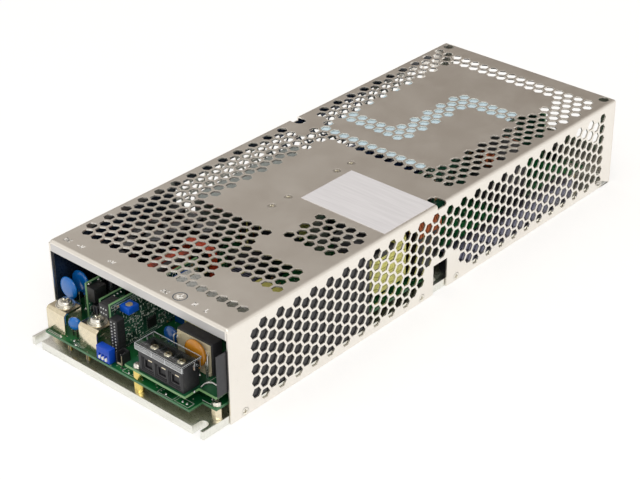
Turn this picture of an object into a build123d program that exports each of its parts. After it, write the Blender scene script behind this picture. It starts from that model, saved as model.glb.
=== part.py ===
"""Slim enclosed power supply that cools through its base plate, with its terminals at the front."""
import os
from math import floor, sqrt

from build123d import *

os.makedirs("parts", exist_ok=True)

# Sizes are in millimetres. The origin is under the middle of the base plate, the front is -Y.

# Whole unit, its one folded sheet and how far the base plate leads the cover
length = 380.0
width = 141.4
height = 60.0
sheet = 1.2
plate_lead = 19.4
cover_l = length - plate_lead
inner_x = width / 2 - sheet
drawn_inner_x = 69.5


def across(place):
    """X of a place measured from the middle, which keeps its share of the inner width"""
    return place * inner_x / drawn_inner_x


def before_rear(gap):
    """How deep a place is that lies this far before the cover's rear edge"""
    return cover_l - gap


# Values called "deep" are measured back from the front edge of the cover

# Base plate
plate_t = 5.2
plate_fit = 0.1
slot_w = 6.0
slot_deep = 8.2
fixing_side = 6.7
fixing_d = 5.5
right_fixing_deep = 178.0
left_fixing_deep = 203.0
rear_fixing_inset = 5.4

# Cover
bend_r = 1.8
lip_h = 6.9
access_w = 8.0
access_in = 10.0
access_down = 3.0
access_d = 7.0
notch_w = 13.0
notch_h = 20.0

# Vents, six-sided holes with a corner towards the front
vent_flat = 12.2
vent_web = 3.1
vent_edge = 3.5
vent_front = 20.3
vent_rear = 15.0
vent_low = 3.4

# Plain fields among the vents of the cover's top: nearest and furthest deep, left and right x
top_plain = [
    (23.0, 45.0, 24.0, 75.0),
    (68.0, 90.0, 18.0, 75.0),
    (88.0, 123.0, -35.0, 26.0),
    (120.0, 196.0, -35.0, 75.0),
    (194.0, 210.0, -75.0, -57.0),
    (170.0, 190.0, 57.0, 75.0),
    (207.0, 223.0, -48.0, 41.0),
    (221.0, 237.0, 3.0, 41.0),
    (235.0, 290.0, -48.0, -13.0),
    (235.0, 290.0, 4.0, 41.0),
    (288.0, 303.0, -48.0, -13.0),
    (301.0, 336.0, -48.0, 41.0),
]

# Screws that hold the cover, and the posts under it
side_screw_deep = [11.0, 161.0, 194.0, before_rear(13.6)]
top_screw_deep = [111.0, 125.0, 168.0, 181.0]
top_screw_x = across(-2.2)
cover_screw_head_d = 5.2
cover_screw_cone = 82.0
screw_fit = 0.05
screw_sides = 8
post_w = 9.0
post_over = 4.0
post_fit = 0.5

# Blank label on the cover
label_t = 0.15
label_w = 64.0
label_l = 45.0
label_right_gap = 2.4
label_deep = 129.0

# Insulating films and the heat pad under the cover
film_t = 0.5
film_gap = 0.3
film_low = 6.0
film_top_gap = 4.0
right_film_end = 115.0
right_film_lead = 7.3
right_film_low = 20.6
right_film_high = 46.4
left_film_end = 62.0
pad_t = 1.0
pad_start = 200.0
pad_end = 304.0
pad_left = across(-49.0)
pad_right = across(41.0)

# Circuit boards and what carries them
board_t = 1.6
board_gap = 6.8
board_side = 1.3
board_lead = 18.0
board_tongue_x = across(58.0)
board_step_deep = -8.0
board_narrow_deep = 171.0
board_end = before_rear(15.6)
standoff_af = 5.5
standoff_side = 4.0
standoff_deep = [-4.8, 90.0]
rear_standoff_in = 4.5
rear_standoff_deep = before_rear(22.6)
brass_af = 5.0
brass_rear = [(across(17.2), 72.0), (across(60.0), 72.0)]
brass_block_gap = 3.1
brass_deep = -15.2
ac_gap = 5.8
ac_left = across(9.0)
ac_tongue_right = across(55.4)
ac_lead = 18.2
ac_step_deep = -7.7
ac_end = 76.0
small_screw_d = 5.4
small_screw_h = 2.2

# Mains terminal block
poles = 3
pole_pitch = 10.3
block_x = across(36.5)
block_w = 34.0
block_deep = -17.0
block_l = 11.7
block_h = 15.4
entry_w = 7.6
entry_low = 2.4
entry_h = 7.2
entry_l = 8.0
frame_rim = 0.7
frame_cut = 0.5
well_w = 8.4
well_l = 7.6
well_h = 4.0
well_back = 2.0
clamp_w = 7.6
clamp_l = 6.8
clamp_t = 1.2
terminal_screw_d = 5.6
terminal_screw_h = 2.4
recess_w = 0.9
recess_h = 1.0

# Hinged clear cover of the terminal block
shield_t = 1.0
shield_gap = 0.2
shield_lip = 3.9
shield_lip_gap = 0.4
shield_rise = 1.6
shield_over = 1.4
shield_arm_l = 4.4
shield_arm_down = 2.2
hinge_back = 1.8
hinge_down = 1.6
hinge_pin_r = 0.8
hinge_pin_in = 1.0
hinge_fit = 0.08

# Filter parts on the mains board
varistor_d = 16.0
varistor_t = 4.6
varistor_x = across(44.6)
varistor_deep = 1.2
varistor_z = 34.2
choke_x = across(40.8)
choke_deep = [4.6, 34.0]
choke_w = 26.8
choke_l = 7.6
choke_h = 20.4
choke_slab_t = 5.6
bobbin_over = 0.8
bobbin_flange = 2.6
bobbin_inset = 1.0
coil_inset = 3.0
line_disc_d = 11.0
line_disc_t = 3.6
line_disc_choke_gap = 0.9
line_disc_x = choke_x - (choke_w + line_disc_d) / 2 - line_disc_choke_gap
line_disc_deep = 6.0
line_disc_z = 32.7
lead_w = 0.8
lead_spread = 5.0
film_cap_choke_gap = 0.6
film_cap_w = 14.8
film_cap_x = choke_x - (choke_w + film_cap_w) / 2 - film_cap_choke_gap
film_caps_at = [(film_cap_x, film_cap_w, 24.0, 32.0, 24.0), (across(48.5), 31.0, 48.0, 16.0, 26.0)]

# Control board with its header, trimmer and mode switch
control_x = across(-10.5)
control_front = -8.8
control_end = 58.0
control_h = 31.8
header_w = 6.0
header_l = 9.4
header_h = 23.4
header_low = 1.2
header_front = -10.5
pin_rows = 12
pin_columns = 2
pin_pitch = 1.9
pin_size = 0.7
pin_out = 0.5
trimmer_w = 7.2
trimmer_l = 7.6
trimmer_h = 4.2
trimmer_front = -2.2
trimmer_low = 25.2
rotor_d = 4.0
rotor_h = 1.9
rotor_fit = 0.15
rotor_slot = 0.8
rotor_slot_h = 0.8
switch_x = across(-9.7)
switch_w = 10.4
switch_front = -17.6
switch_l = 4.6
switch_h = 8.9
levers = 3
lever_pitch = 2.6
lever_w = 1.3
lever_h = 1.7
lever_in = 1.0
lever_out = 0.7
lever_fit = 0.15
lever_low = 1.2
lever_travel = 1.6
aux_header_w = 7.2
aux_header_l = 10.5
aux_header_h = 7.4
aux_header_front = -9.5
aux_header_low = 23.0
socket_x = across(-0.8)
socket_w = 5.2
socket_l = 6.6
socket_h = 7.4
socket_front = -14.2
socket_wall = 0.8

# Direct-current terminals
bar_w = 15.0
bar_t = 1.5
bar_r = 2.6
bar_lead = 15.4
bar_l = 15.6
bar_h = 14.9
bar_corner = 3.2
bar_x = [across(-51.3), across(-24.1)]
bar_hole_deep = -7.4
bar_head_d = 7.6
bar_head_h = 2.6
bar_washer_d = 10.0
bar_washer_t = 1.0
bar_nut_w = 8.0
bar_nut_h = 3.0
bar_screw_recess = 1.2

# Parts behind the direct-current terminals
dc_disc_d = 14.0
dc_disc_t = 3.6
dc_disc_x = across(-60.1)
dc_disc_deep = [3.0, 12.0]
dc_disc_z = 31.0
output_cap_d = 13.0
output_cap_h = 34.0
output_caps_at = [(across(-59.5), 27.0), (across(-44.5), 27.0), (across(-52.0), 42.0)]
small_cap_d = 8.0
small_cap_h = 16.4
small_cap_x = across(-36.4)
small_cap_deep = 4.8
sense_x = across(-42.0)
sense_front = 0.8
sense_end = 12.0
sense_h = 28.7
sense_chip_t = 6.0
sense_chip_l = 9.0
sense_chip_h = 9.0
link_x = across(-31.0)
link_front = 1.0
link_end = 19.0
link_h = 22.6
aux_x = across(-24.0)
aux_w = 16.0
aux_deep = 28.0
aux_l = 32.0
aux_h = 30.0
aux_leg = 4.0
aux_core_inset = 4.0

# Power transformers, inductors, storage capacitors and power devices
head_room = 5.3
transformer_w = 34.0
transformer_x = [across(49.0), across(-27.0)]
transformer_deep = 118.0
transformer_l = 42.0
transformer_leg = 4.5
transformer_slab = 6.0
transformer_core_inset = 7.0
coil_gap = 0.2
coil_corner = 4.0
inductors_at = [(across(45.5), 23.0, 163.0, 18.0), (across(43.0), 26.0, 258.0, 30.0)]
inductor_leg = 5.0
inductor_wire = 2.6
inductor_core_inset = 3.0
can_d = 30.0
can_l = 46.0
can_x = across(-33.0)
can_gap = 2.0
can_deep = [204.0, 254.0]
can_lift = 0.2
driver_x = across(22.4)
driver_front = 194.0
driver_end = before_rear(42.6)
driver_h = 34.0
rail_w = 8.6
rail_h = 13.4
rail_gap = 0.9
rail_board_gap = 1.5
right_rail_start = 190.0
left_rail_start = 214.0
rail_end = before_rear(40.6)
device_w = 21.0
device_l = 16.0
device_h = 5.0
device_x = across(34.0)
device_deep = [70.0, 140.0, 225.0, 250.0, 275.0, 300.0]

# Values that follow from those above
front = -length / 2
back = length / 2
cover_front = front + plate_lead
fixing_x = width / 2 - fixing_side
ceiling = height - sheet
board_z = plate_t + board_gap
board_top = board_z + board_t
board_x = inner_x - board_side
ac_z = board_top + ac_gap
ac_top = ac_z + board_t
tall = ceiling - head_room
rail_x = inner_x - rail_gap
film_start = sheet + film_gap
board_narrow_x = rail_x - rail_w - rail_board_gap


def deep(distance):
    """Y of a place this far behind the cover's front edge"""
    return cover_front + distance


def block(x, y, z, mode=Mode.ADD):
    """A rectangular block between two values along each axis"""
    with Locations(((x[0] + x[1]) / 2, (y[0] + y[1]) / 2, (z[0] + z[1]) / 2)):
        Box(x[1] - x[0], y[1] - y[0], z[1] - z[0], mode=mode)


def finish(part, name):
    """Labels a piece and writes its file"""
    part.label = name
    export_step(part, f"parts/{name}.step")


# Base plate with open slots at the front and fixing holes further back
fixings = [
    (fixing_x, deep(right_fixing_deep)),
    (-fixing_x, deep(left_fixing_deep)),
    (fixing_x, back - rear_fixing_inset),
    (-fixing_x, back - rear_fixing_inset),
]
side_screw_z = plate_t / 2
cover_seats = [Plane((top_screw_x, deep(d), height)) for d in top_screw_deep]
wall_seats = {
    side: [Plane((side * width / 2, deep(d), side_screw_z), z_dir=(side, 0, 0)) for d in side_screw_deep]
    for side in (-1, 1)
}
plate_x = inner_x - plate_fit
plate_back = back - sheet - plate_fit
with BuildPart() as base_plate:
    block((-plate_x, plate_x), (front, plate_back), (0, plate_t))
    with BuildSketch():
        with Locations(*[(s * fixing_x, front + slot_deep - slot_w / 2) for s in (-1, 1)]):
            Circle(slot_w / 2)
            Rectangle(slot_w, slot_deep, align=(Align.CENTER, Align.MAX))
        with Locations(*fixings):
            Circle(fixing_d / 2)
    extrude(amount=plate_t, mode=Mode.SUBTRACT)
finish(base_plate.part, "base_plate")

# Posts that stand on the base plate and carry the middle of the cover
post_spans = [
    (deep(top_screw_deep[0] - post_over), deep(top_screw_deep[1] + post_over)),
    (deep(top_screw_deep[2] - post_over), deep(top_screw_deep[3] + post_over)),
]
post_sides = (top_screw_x - post_w / 2, top_screw_x + post_w / 2)
with BuildPart() as cover_posts:
    for span in post_spans:
        block(post_sides, span, (plate_t, ceiling))
finish(cover_posts.part, "cover_posts")

# Cover: a folded box without a floor, open at the front below its lip
pitch = vent_flat + vent_web
column = pitch * sqrt(3) / 2
columns = floor((back - vent_rear - deep(vent_front)) / column) + 1


def vent_grid(low, high, plain):
    """Centres of the vents between two limits across the rows, leaving out the plain fields"""
    rows = floor((high - low - vent_flat) / pitch) + 1
    middle = (low + high) / 2
    centres = []
    for c in range(columns):
        count = rows - c % 2
        for r in range(count):
            along = vent_front + c * column
            across = middle + (r - (count - 1) / 2) * pitch
            if not any(a < along < b and p < across < q for a, b, p, q in plain):
                centres.append((deep(along), across))
    return centres


def flush_head(fit):
    """A countersunk head, or with no fit the seat that it sits in"""
    with BuildPart() as head:
        with BuildSketch():
            RegularPolygon(cover_screw_head_d / 2 - fit, screw_sides)
        extrude(amount=-sheet, taper=cover_screw_cone / 2)
    return head.part


edge = width / 2
middle_deep = (right_fixing_deep, left_fixing_deep)
plain_fields = [(near, far, across(left), across(right)) for near, far, left, right in top_plain]
top_vents = vent_grid(-edge + vent_edge, edge - vent_edge, plain_fields)
with BuildPart() as cover:
    block((-edge, edge), (cover_front, back), (0, height))
    fillet(cover.faces().sort_by(Axis.Z)[-1].edges(), bend_r)
    offset(amount=-sheet, openings=cover.faces().sort_by(Axis.Z)[0])
    front_wall = (cover_front - sheet, cover_front + sheet)
    block((-inner_x, inner_x), front_wall, (-sheet, height - lip_h), Mode.SUBTRACT)
    with Locations(*cover_seats, *wall_seats[-1], *wall_seats[1]):
        add(flush_head(0), mode=Mode.SUBTRACT)
    for side, fixing_deep in ((1, right_fixing_deep), (-1, left_fixing_deep)):
        block(
            (side * edge - 2 * sheet, side * edge + 2 * sheet),
            (deep(fixing_deep) - notch_w / 2, deep(fixing_deep) + notch_w / 2),
            (-sheet, notch_h),
            Mode.SUBTRACT,
        )
        with BuildSketch(Plane.XY.offset(height)):
            with Locations((side * (edge - access_in + access_w / 2), deep(fixing_deep))):
                Circle(access_w / 2)
                Rectangle(access_in, access_w, align=(Align.MIN if side > 0 else Align.MAX, Align.CENTER))
            with Locations((side * fixing_x, back - rear_fixing_inset)):
                Circle(access_d / 2)
        extrude(amount=-access_down, mode=Mode.SUBTRACT)
    for side, fixing_deep in ((1, right_fixing_deep), (-1, left_fixing_deep)):
        plain = [(fixing_deep - notch_w, fixing_deep + notch_w, 0, notch_h + vent_flat / 4)]
        side_vents = vent_grid(vent_low, height - vent_edge, plain)
        with BuildSketch(Plane((side * edge, 0, 0), x_dir=(0, side, 0), z_dir=(side, 0, 0))):
            with Locations(*[(side * y, z) for y, z in side_vents]):
                RegularPolygon(vent_flat / 2, 6, major_radius=False)
        extrude(amount=-2 * sheet, mode=Mode.SUBTRACT)
    with BuildSketch(Plane.XY.offset(height)):
        with Locations(*[(x, y) for y, x in top_vents]):
            RegularPolygon(vent_flat / 2, 6, major_radius=False, rotation=90)
    extrude(amount=-2 * sheet, mode=Mode.SUBTRACT)

# The cover's solids: sheets parted at the bends and beside the openings, so that each is plain and flat
nick = 0.1
roof_cuts = [Plane.XZ.offset(-deep(d + s * (access_w / 2 - nick))) for d in middle_deep for s in (-1, 1)]
roof_cuts += [Plane.XZ.offset(rear_fixing_inset - back - s * (access_d / 2 - nick)) for s in (-1, 1)]


def parted(solids, planes, near=None):
    """Solids cut along planes, only those whose middle lies in the span of X and Y where one is given"""
    for plane in planes:
        pieces = []
        for solid in solids:
            at = solid.bounding_box().center()
            if near and not all(low < value < high for (low, high), value in zip(near, (at.X, at.Y))):
                pieces.append(solid)
            else:
                pieces += split(solid, bisect_by=plane, keep=Keep.ALL).solids()
        solids = pieces
    return solids


sheets = parted(cover.part.solids(), [Plane.XY.offset(ceiling)])
roof = parted([s for s in sheets if s.bounding_box().min.Z > ceiling - sheet / 2], roof_cuts)
folds = [s for s in sheets if s.bounding_box().min.Z < ceiling - sheet / 2]
folds = parted(folds, [Plane.YZ.offset(side * inner_x) for side in (-1, 1)])
bend_lines = [Plane.XZ.offset(-y) for y in (cover_front + bend_r, back - bend_r)]
folds = parted(folds, bend_lines, ((-1, 1), (cover_front, back)))
for side, fixing_deep in ((1, right_fixing_deep), (-1, left_fixing_deep)):
    strip = (deep(fixing_deep) - access_w / 2, deep(fixing_deep) + access_w / 2)
    inner_end = Plane.YZ.offset(side * (edge - access_in + nick))
    roof = parted(roof, [inner_end], ((-edge, edge), strip))
    beside = [Plane.XZ.offset(-deep(fixing_deep + s * (notch_w / 2 - nick))) for s in (-1, 1)]
    wall_span = tuple(sorted((side * inner_x, side * edge)))
    folds = parted(folds, beside, (wall_span, (cover_front, back)))
around = [Plane.YZ.offset(s * fixing_x + r * (access_d / 2 - nick)) for s in (-1, 1) for r in (-1, 1)]
rear_strip = (back - rear_fixing_inset - access_d / 2, back - rear_fixing_inset + access_d / 2)
roof = parted(roof, around, ((-edge, edge), rear_strip))
finish(Compound(children=roof + folds), "cover")

# Countersunk screw heads, set flush in the cover
side_seats = wall_seats[-1] + wall_seats[1]
for name, seats in (("cover_side_screws", side_seats), ("cover_top_screws", cover_seats)):
    with BuildPart() as heads:
        with Locations(*seats):
            add(flush_head(screw_fit))
    finish(heads.part, name)

# Blank label
label_right = edge - label_right_gap
label_y = (deep(label_deep), deep(label_deep) + label_l)
with BuildPart() as blank_label:
    block((label_right - label_w, label_right), label_y, (height, height + label_t))
finish(blank_label.part, "blank_label")

# Insulating films along the walls, the right one with a tongue that reaches out of the front
film_x = inner_x - film_gap
with BuildPart() as right_film:
    with BuildSketch(Plane.YZ.offset(film_x - film_t)):
        with BuildLine():
            Polyline(
                (deep(film_start), film_low),
                (deep(right_film_end), film_low),
                (deep(right_film_end), ceiling - film_top_gap),
                (deep(film_start), ceiling - film_top_gap),
                (deep(film_start), right_film_high),
                (deep(-right_film_lead), right_film_high),
                (deep(-right_film_lead), right_film_low),
                (deep(film_start), right_film_low),
                close=True,
            )
        make_face()
    extrude(amount=film_t)
finish(right_film.part, "right_insulating_film")
left_film_y = (deep(film_start), deep(left_film_end))
with BuildPart() as left_film:
    block((-film_x, film_t - film_x), left_film_y, (film_low, ceiling - film_top_gap))
finish(left_film.part, "left_insulating_film")
with BuildPart() as heat_pad:
    block((pad_left, pad_right), (deep(pad_start), deep(pad_end)), (ceiling - pad_t, ceiling))
finish(heat_pad.part, "cover_heat_pad")

# Main board: narrower at the front between the slots and at the rear between the rails
with BuildPart() as main_board:
    with BuildSketch(Plane.XY.offset(board_z)):
        with BuildLine():
            Polyline(
                (0, deep(-board_lead)),
                (board_tongue_x, deep(-board_lead)),
                (board_tongue_x, deep(board_step_deep)),
                (board_x, deep(board_step_deep)),
                (board_x, deep(board_narrow_deep)),
                (board_narrow_x, deep(board_narrow_deep)),
                (board_narrow_x, deep(board_end)),
                (0, deep(board_end)),
            )
            mirror(about=Plane.YZ)
        make_face()
        for span in post_spans:
            with Locations((top_screw_x, (span[0] + span[1]) / 2)):
                Rectangle(post_w + 2 * post_fit, span[1] - span[0] + 2 * post_fit, mode=Mode.SUBTRACT)
    extrude(amount=board_t)
finish(main_board.part, "main_board")

# Mains board, carried above the main board
with BuildPart() as ac_board:
    with BuildSketch(Plane.XY.offset(ac_z)):
        with BuildLine():
            Polyline(
                (ac_left, deep(-ac_lead)),
                (ac_tongue_right, deep(-ac_lead)),
                (ac_tongue_right, deep(ac_step_deep)),
                (board_x, deep(ac_step_deep)),
                (board_x, deep(ac_end)),
                (ac_left, deep(ac_end)),
                close=True,
            )
        make_face()
    extrude(amount=board_t)
finish(ac_board.part, "ac_board")


# Six-sided standoffs and the screws on the boards
def hex_posts(places, across_flats, low, high):
    """Six-sided posts between two heights"""
    with BuildSketch(Plane.XY.offset(low)) as section:
        with Locations(*places):
            RegularPolygon(across_flats / 2, 6, major_radius=False)
    extrude(section.sketch, amount=high - low)


def screw_heads(places, seat, diameter, tallness):
    """Round screw heads with few sides, standing on a seat"""
    with BuildSketch(Plane.XY.offset(seat)) as section:
        with Locations(*places):
            RegularPolygon(diameter / 2, screw_sides)
    extrude(section.sketch, amount=tallness)


def cross_recess(places, top, arm, wide, depth):
    """Cuts a cross in screw heads"""
    with Locations(*[(x, y, top) for x, y in places]):
        for size in ((arm, wide), (wide, arm)):
            Box(*size, depth, align=(Align.CENTER, Align.CENTER, Align.MAX), mode=Mode.SUBTRACT)


standoff_x = inner_x - standoff_side
nickel_places = [(s * standoff_x, deep(d)) for s in (-1, 1) for d in standoff_deep]
rear_standoff_x = board_narrow_x - rear_standoff_in
nickel_places += [(s * rear_standoff_x, deep(rear_standoff_deep)) for s in (-1, 1)]
with BuildPart() as nickel_standoffs:
    hex_posts(nickel_places, standoff_af, plate_t, board_z)
finish(nickel_standoffs.part, "nickel_standoffs")
block_left = block_x - block_w / 2
block_right = block_x + block_w / 2
brass_places = [(block_left - brass_block_gap, deep(brass_deep))] + [(x, deep(d)) for x, d in brass_rear]
with BuildPart() as brass_standoffs:
    hex_posts(brass_places, brass_af, board_top, ac_z)
    hex_posts(brass_places, brass_af, plate_t, board_z)
finish(brass_standoffs.part, "brass_standoffs")
with BuildPart() as board_screws:
    for places, seat in ((nickel_places, board_top), (brass_places, ac_top)):
        screw_heads(places, seat, small_screw_d, small_screw_h)
finish(board_screws.part, "board_screws")

# Mains terminal block: one cell per pole, entered from the front, with its clamp in a well above
block_front = deep(block_deep)
block_back = block_front + block_l
block_top = ac_top + block_h
pole_x = [block_x + (i - (poles - 1) / 2) * pole_pitch for i in range(poles)]
well_y = block_back - well_back - well_l / 2
hinge_y = block_back - hinge_back
hinge_z = block_top - hinge_down
with BuildPart() as terminal_block:
    block((block_left, block_right), (block_front, block_back), (ac_top, block_top))
    for x in pole_x:
        rim_w = entry_w / 2 + frame_rim
        block(
            (x - rim_w, x + rim_w),
            (block_front - frame_cut, block_front + frame_cut),
            (ac_top + entry_low - frame_rim, ac_top + entry_low + entry_h + frame_rim),
            Mode.SUBTRACT,
        )
        block(
            (x - entry_w / 2, x + entry_w / 2),
            (block_front - frame_cut, block_front + entry_l),
            (ac_top + entry_low, ac_top + entry_low + entry_h),
            Mode.SUBTRACT,
        )
        block(
            (x - well_w / 2, x + well_w / 2),
            (well_y - well_l / 2, well_y + well_l / 2),
            (block_top - well_h, block_top + frame_cut),
            Mode.SUBTRACT,
        )
    ends = [Plane((x, hinge_y, hinge_z), z_dir=(s, 0, 0)) for s, x in ((-1, block_left), (1, block_right))]
    with Locations(*ends):
        Hole(hinge_pin_r + hinge_fit, depth=hinge_pin_in + hinge_fit)
finish(terminal_block.part, "ac_terminal_block")

# Clamps and screws of the terminal block
well_floor = block_top - well_h
with BuildPart() as terminal_clamps:
    with Locations(*[(x, well_y, well_floor) for x in pole_x]):
        Box(clamp_w, clamp_l, clamp_t, align=(Align.CENTER, Align.CENTER, Align.MIN))
finish(terminal_clamps.part, "ac_terminal_clamps")
screw_seat = well_floor + clamp_t
with BuildPart() as terminal_screws:
    places = [(x, well_y) for x in pole_x]
    screw_heads(places, screw_seat, terminal_screw_d, terminal_screw_h)
    cross_recess(places, screw_seat + terminal_screw_h, terminal_screw_d * 0.7, recess_w, recess_h)
finish(terminal_screws.part, "ac_terminal_screws")

# Clear cover of the terminal block, turning on two pins in the block's ends
shield_low = block_top + shield_rise
shield_top = shield_low + shield_t
shield_left = block_left - shield_gap - shield_t
shield_right = block_right + shield_gap + shield_t
lip_back = block_front - shield_lip_gap
shield_x = (shield_left, shield_right)
arm_y = (hinge_y - shield_arm_l / 2, hinge_y + shield_arm_l / 2)
with BuildPart() as terminal_cover:
    block(shield_x, (lip_back - shield_t, block_back + shield_over), (shield_low, shield_top))
    block(shield_x, (lip_back - shield_t, lip_back), (shield_top - shield_lip, shield_top))
    for x, way in ((shield_left, 1), (shield_right, -1)):
        arm_x = sorted((x, x + way * shield_t))
        block(arm_x, arm_y, (hinge_z - shield_arm_down, shield_top))
        with Locations(Plane((x, hinge_y, hinge_z), z_dir=(way, 0, 0))):
            pin_l = shield_t + shield_gap + hinge_pin_in
            Cylinder(hinge_pin_r, pin_l, align=(Align.CENTER, Align.CENTER, Align.MIN))
finish(terminal_cover.part, "ac_terminal_cover")


# Disc capacitors and the varistor stand on two leads
def disc_on_leads(x, y, z, diameter, thick, foot):
    """A flat round part facing the front, with its two leads down to a board"""
    with Locations(Plane((x, y, z), z_dir=(0, -1, 0))):
        Cylinder(diameter / 2, thick)
    with Locations(*[(x + s * lead_spread / 2, y, foot) for s in (-1, 1)]):
        Box(lead_w, lead_w, z - foot, align=(Align.CENTER, Align.CENTER, Align.MIN))


with BuildPart() as varistor:
    disc_on_leads(varistor_x, deep(varistor_deep), varistor_z, varistor_d, varistor_t, ac_top)
finish(varistor.part, "varistor")
with BuildPart() as line_disc:
    disc_on_leads(line_disc_x, deep(line_disc_deep), line_disc_z, line_disc_d, line_disc_t, ac_top)
finish(line_disc.part, "line_disc_capacitor")
with BuildPart() as dc_discs:
    for d in dc_disc_deep:
        disc_on_leads(dc_disc_x, deep(d), dc_disc_z, dc_disc_d, dc_disc_t, board_top)
finish(dc_discs.part, "dc_disc_capacitors")

# Common-mode chokes: a core of two slabs and end legs round a flanged bobbin with its winding
choke_top = ac_top + choke_h
choke_sides = (choke_x - choke_w / 2, choke_x + choke_w / 2)
window = (choke_sides[0] + choke_slab_t, choke_sides[1] - choke_slab_t)
window_z = (ac_top + choke_slab_t, choke_top - choke_slab_t)
with BuildPart() as choke_cores:
    for d in choke_deep:
        span = (deep(d), deep(d) + choke_l)
        block(choke_sides, span, (ac_top, choke_top))
        block(window, span, window_z, Mode.SUBTRACT)
finish(choke_cores.part, "choke_cores")
with BuildPart() as choke_bobbins:
    for d in choke_deep:
        span = (deep(d) - bobbin_over, deep(d) + choke_l + bobbin_over)
        for low in (window_z[0], window_z[1] - bobbin_flange):
            block(window, span, (low, low + bobbin_flange))
        inner = (window[0] + coil_inset, window[1] - coil_inset)
        block(inner, (deep(d) + bobbin_inset, deep(d) + choke_l - bobbin_inset), window_z)
finish(choke_bobbins.part, "choke_bobbins")
winding_z = (window_z[0] + bobbin_flange, window_z[1] - bobbin_flange)
with BuildPart() as choke_windings:
    for d in choke_deep:
        span = (deep(d), deep(d) + choke_l)
        block((window[0] + coil_gap, window[1] - coil_gap), span, winding_z)
        core_span = (deep(d) + bobbin_inset, deep(d) + choke_l - bobbin_inset)
        block((window[0] + coil_inset, window[1] - coil_inset), core_span, winding_z, Mode.SUBTRACT)
finish(choke_windings.part, "choke_windings")

# Film capacitors on the mains board
with BuildPart() as film_caps:
    for x, wide, near, long, tallness in film_caps_at:
        block((x - wide / 2, x + wide / 2), (deep(near), deep(near) + long), (ac_top, ac_top + tallness))
finish(film_caps.part, "film_capacitors")

# Control board, standing on the main board
control_y = (deep(control_front), deep(control_end))
with BuildPart() as control_board:
    block((control_x - board_t, control_x), control_y, (board_top, board_top + control_h))
finish(control_board.part, "control_board")

# Signal header and its pins
header_z = (board_top + header_low, board_top + header_low + header_h)
header_y = (deep(header_front), deep(header_front) + header_l)
with BuildPart() as signal_header:
    block((control_x, control_x + header_w), header_y, header_z)
finish(signal_header.part, "signal_header")
with BuildPart() as header_pins:
    middle = (control_x + header_w / 2, header_y[0], (header_z[0] + header_z[1]) / 2)
    with BuildSketch(Plane(middle, x_dir=(1, 0, 0), z_dir=(0, -1, 0))):
        with GridLocations(pin_pitch, pin_pitch, pin_columns, pin_rows):
            Rectangle(pin_size, pin_size)
    extrude(amount=pin_out)
finish(header_pins.part, "signal_header_pins")

# Trimmer body with a round seat for its rotor
trimmer_z = board_top + trimmer_low
trimmer_top = trimmer_z + trimmer_h
rotor_x = control_x + trimmer_w / 2
rotor_y = deep(trimmer_front) + trimmer_l / 2
trimmer_y = (deep(trimmer_front), deep(trimmer_front) + trimmer_l)
with BuildPart() as trimmer_body:
    block((control_x, control_x + trimmer_w), trimmer_y, (trimmer_z, trimmer_top))
    with Locations((rotor_x, rotor_y, trimmer_top)):
        Hole(rotor_d / 2 + rotor_fit, depth=rotor_h)
finish(trimmer_body.part, "trimmer_body")
with BuildPart() as trimmer_rotor:
    with Locations((rotor_x, rotor_y, trimmer_top - rotor_h + rotor_fit)):
        Cylinder(rotor_d / 2, rotor_h, align=(Align.CENTER, Align.CENTER, Align.MIN))
    with Locations((rotor_x, rotor_y, trimmer_top + rotor_fit)):
        Box(2 * rotor_d, rotor_slot, 2 * rotor_slot_h, mode=Mode.SUBTRACT)
finish(trimmer_rotor.part, "trimmer_rotor")

# Mode switch: a body with one slot per lever
lever_x = [switch_x + (i - (levers - 1) / 2) * lever_pitch for i in range(levers)]
switch_y = deep(switch_front)
slot_low = board_top + lever_low
switch_sides = (switch_x - switch_w / 2, switch_x + switch_w / 2)
with BuildPart() as mode_switch:
    block(switch_sides, (switch_y, switch_y + switch_l), (board_top, board_top + switch_h))
    for x in lever_x:
        half = lever_w / 2 + lever_fit
        block(
            (x - half, x + half),
            (switch_y - lever_out, switch_y + lever_in + lever_fit),
            (slot_low, slot_low + lever_h + lever_travel + 2 * lever_fit),
            Mode.SUBTRACT,
        )
finish(mode_switch.part, "mode_switch_body")
for number, x in enumerate(lever_x, start=1):
    with BuildPart() as lever:
        low = slot_low + lever_fit
        lever_y = (switch_y - lever_out, switch_y + lever_in)
        block((x - lever_w / 2, x + lever_w / 2), lever_y, (low, low + lever_h))
    finish(lever.part, f"mode_switch_lever_{number}")

# Second header on the left of the control board, and the socket at its foot
aux_header_x = control_x - board_t
with BuildPart() as aux_header:
    low = board_top + aux_header_low
    span = (deep(aux_header_front), deep(aux_header_front) + aux_header_l)
    block((aux_header_x - aux_header_w, aux_header_x), span, (low, low + aux_header_h))
finish(aux_header.part, "aux_header")
with BuildPart() as foot_socket:
    x = (socket_x - socket_w / 2, socket_x + socket_w / 2)
    y = (deep(socket_front), deep(socket_front) + socket_l)
    block(x, y, (board_top, board_top + socket_h))
    block(
        (x[0] + socket_wall, x[1] - socket_wall),
        (y[0] + socket_wall, y[1] - socket_wall),
        (board_top + socket_wall, board_top + socket_h + socket_wall),
        Mode.SUBTRACT,
    )
finish(foot_socket.part, "foot_socket")

# Direct-current terminals: a strip bent into a bridge, with a nut under its screw hole
bar_front = deep(-bar_lead)
bar_top = board_top + bar_h
hole_y = deep(bar_hole_deep)


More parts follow.
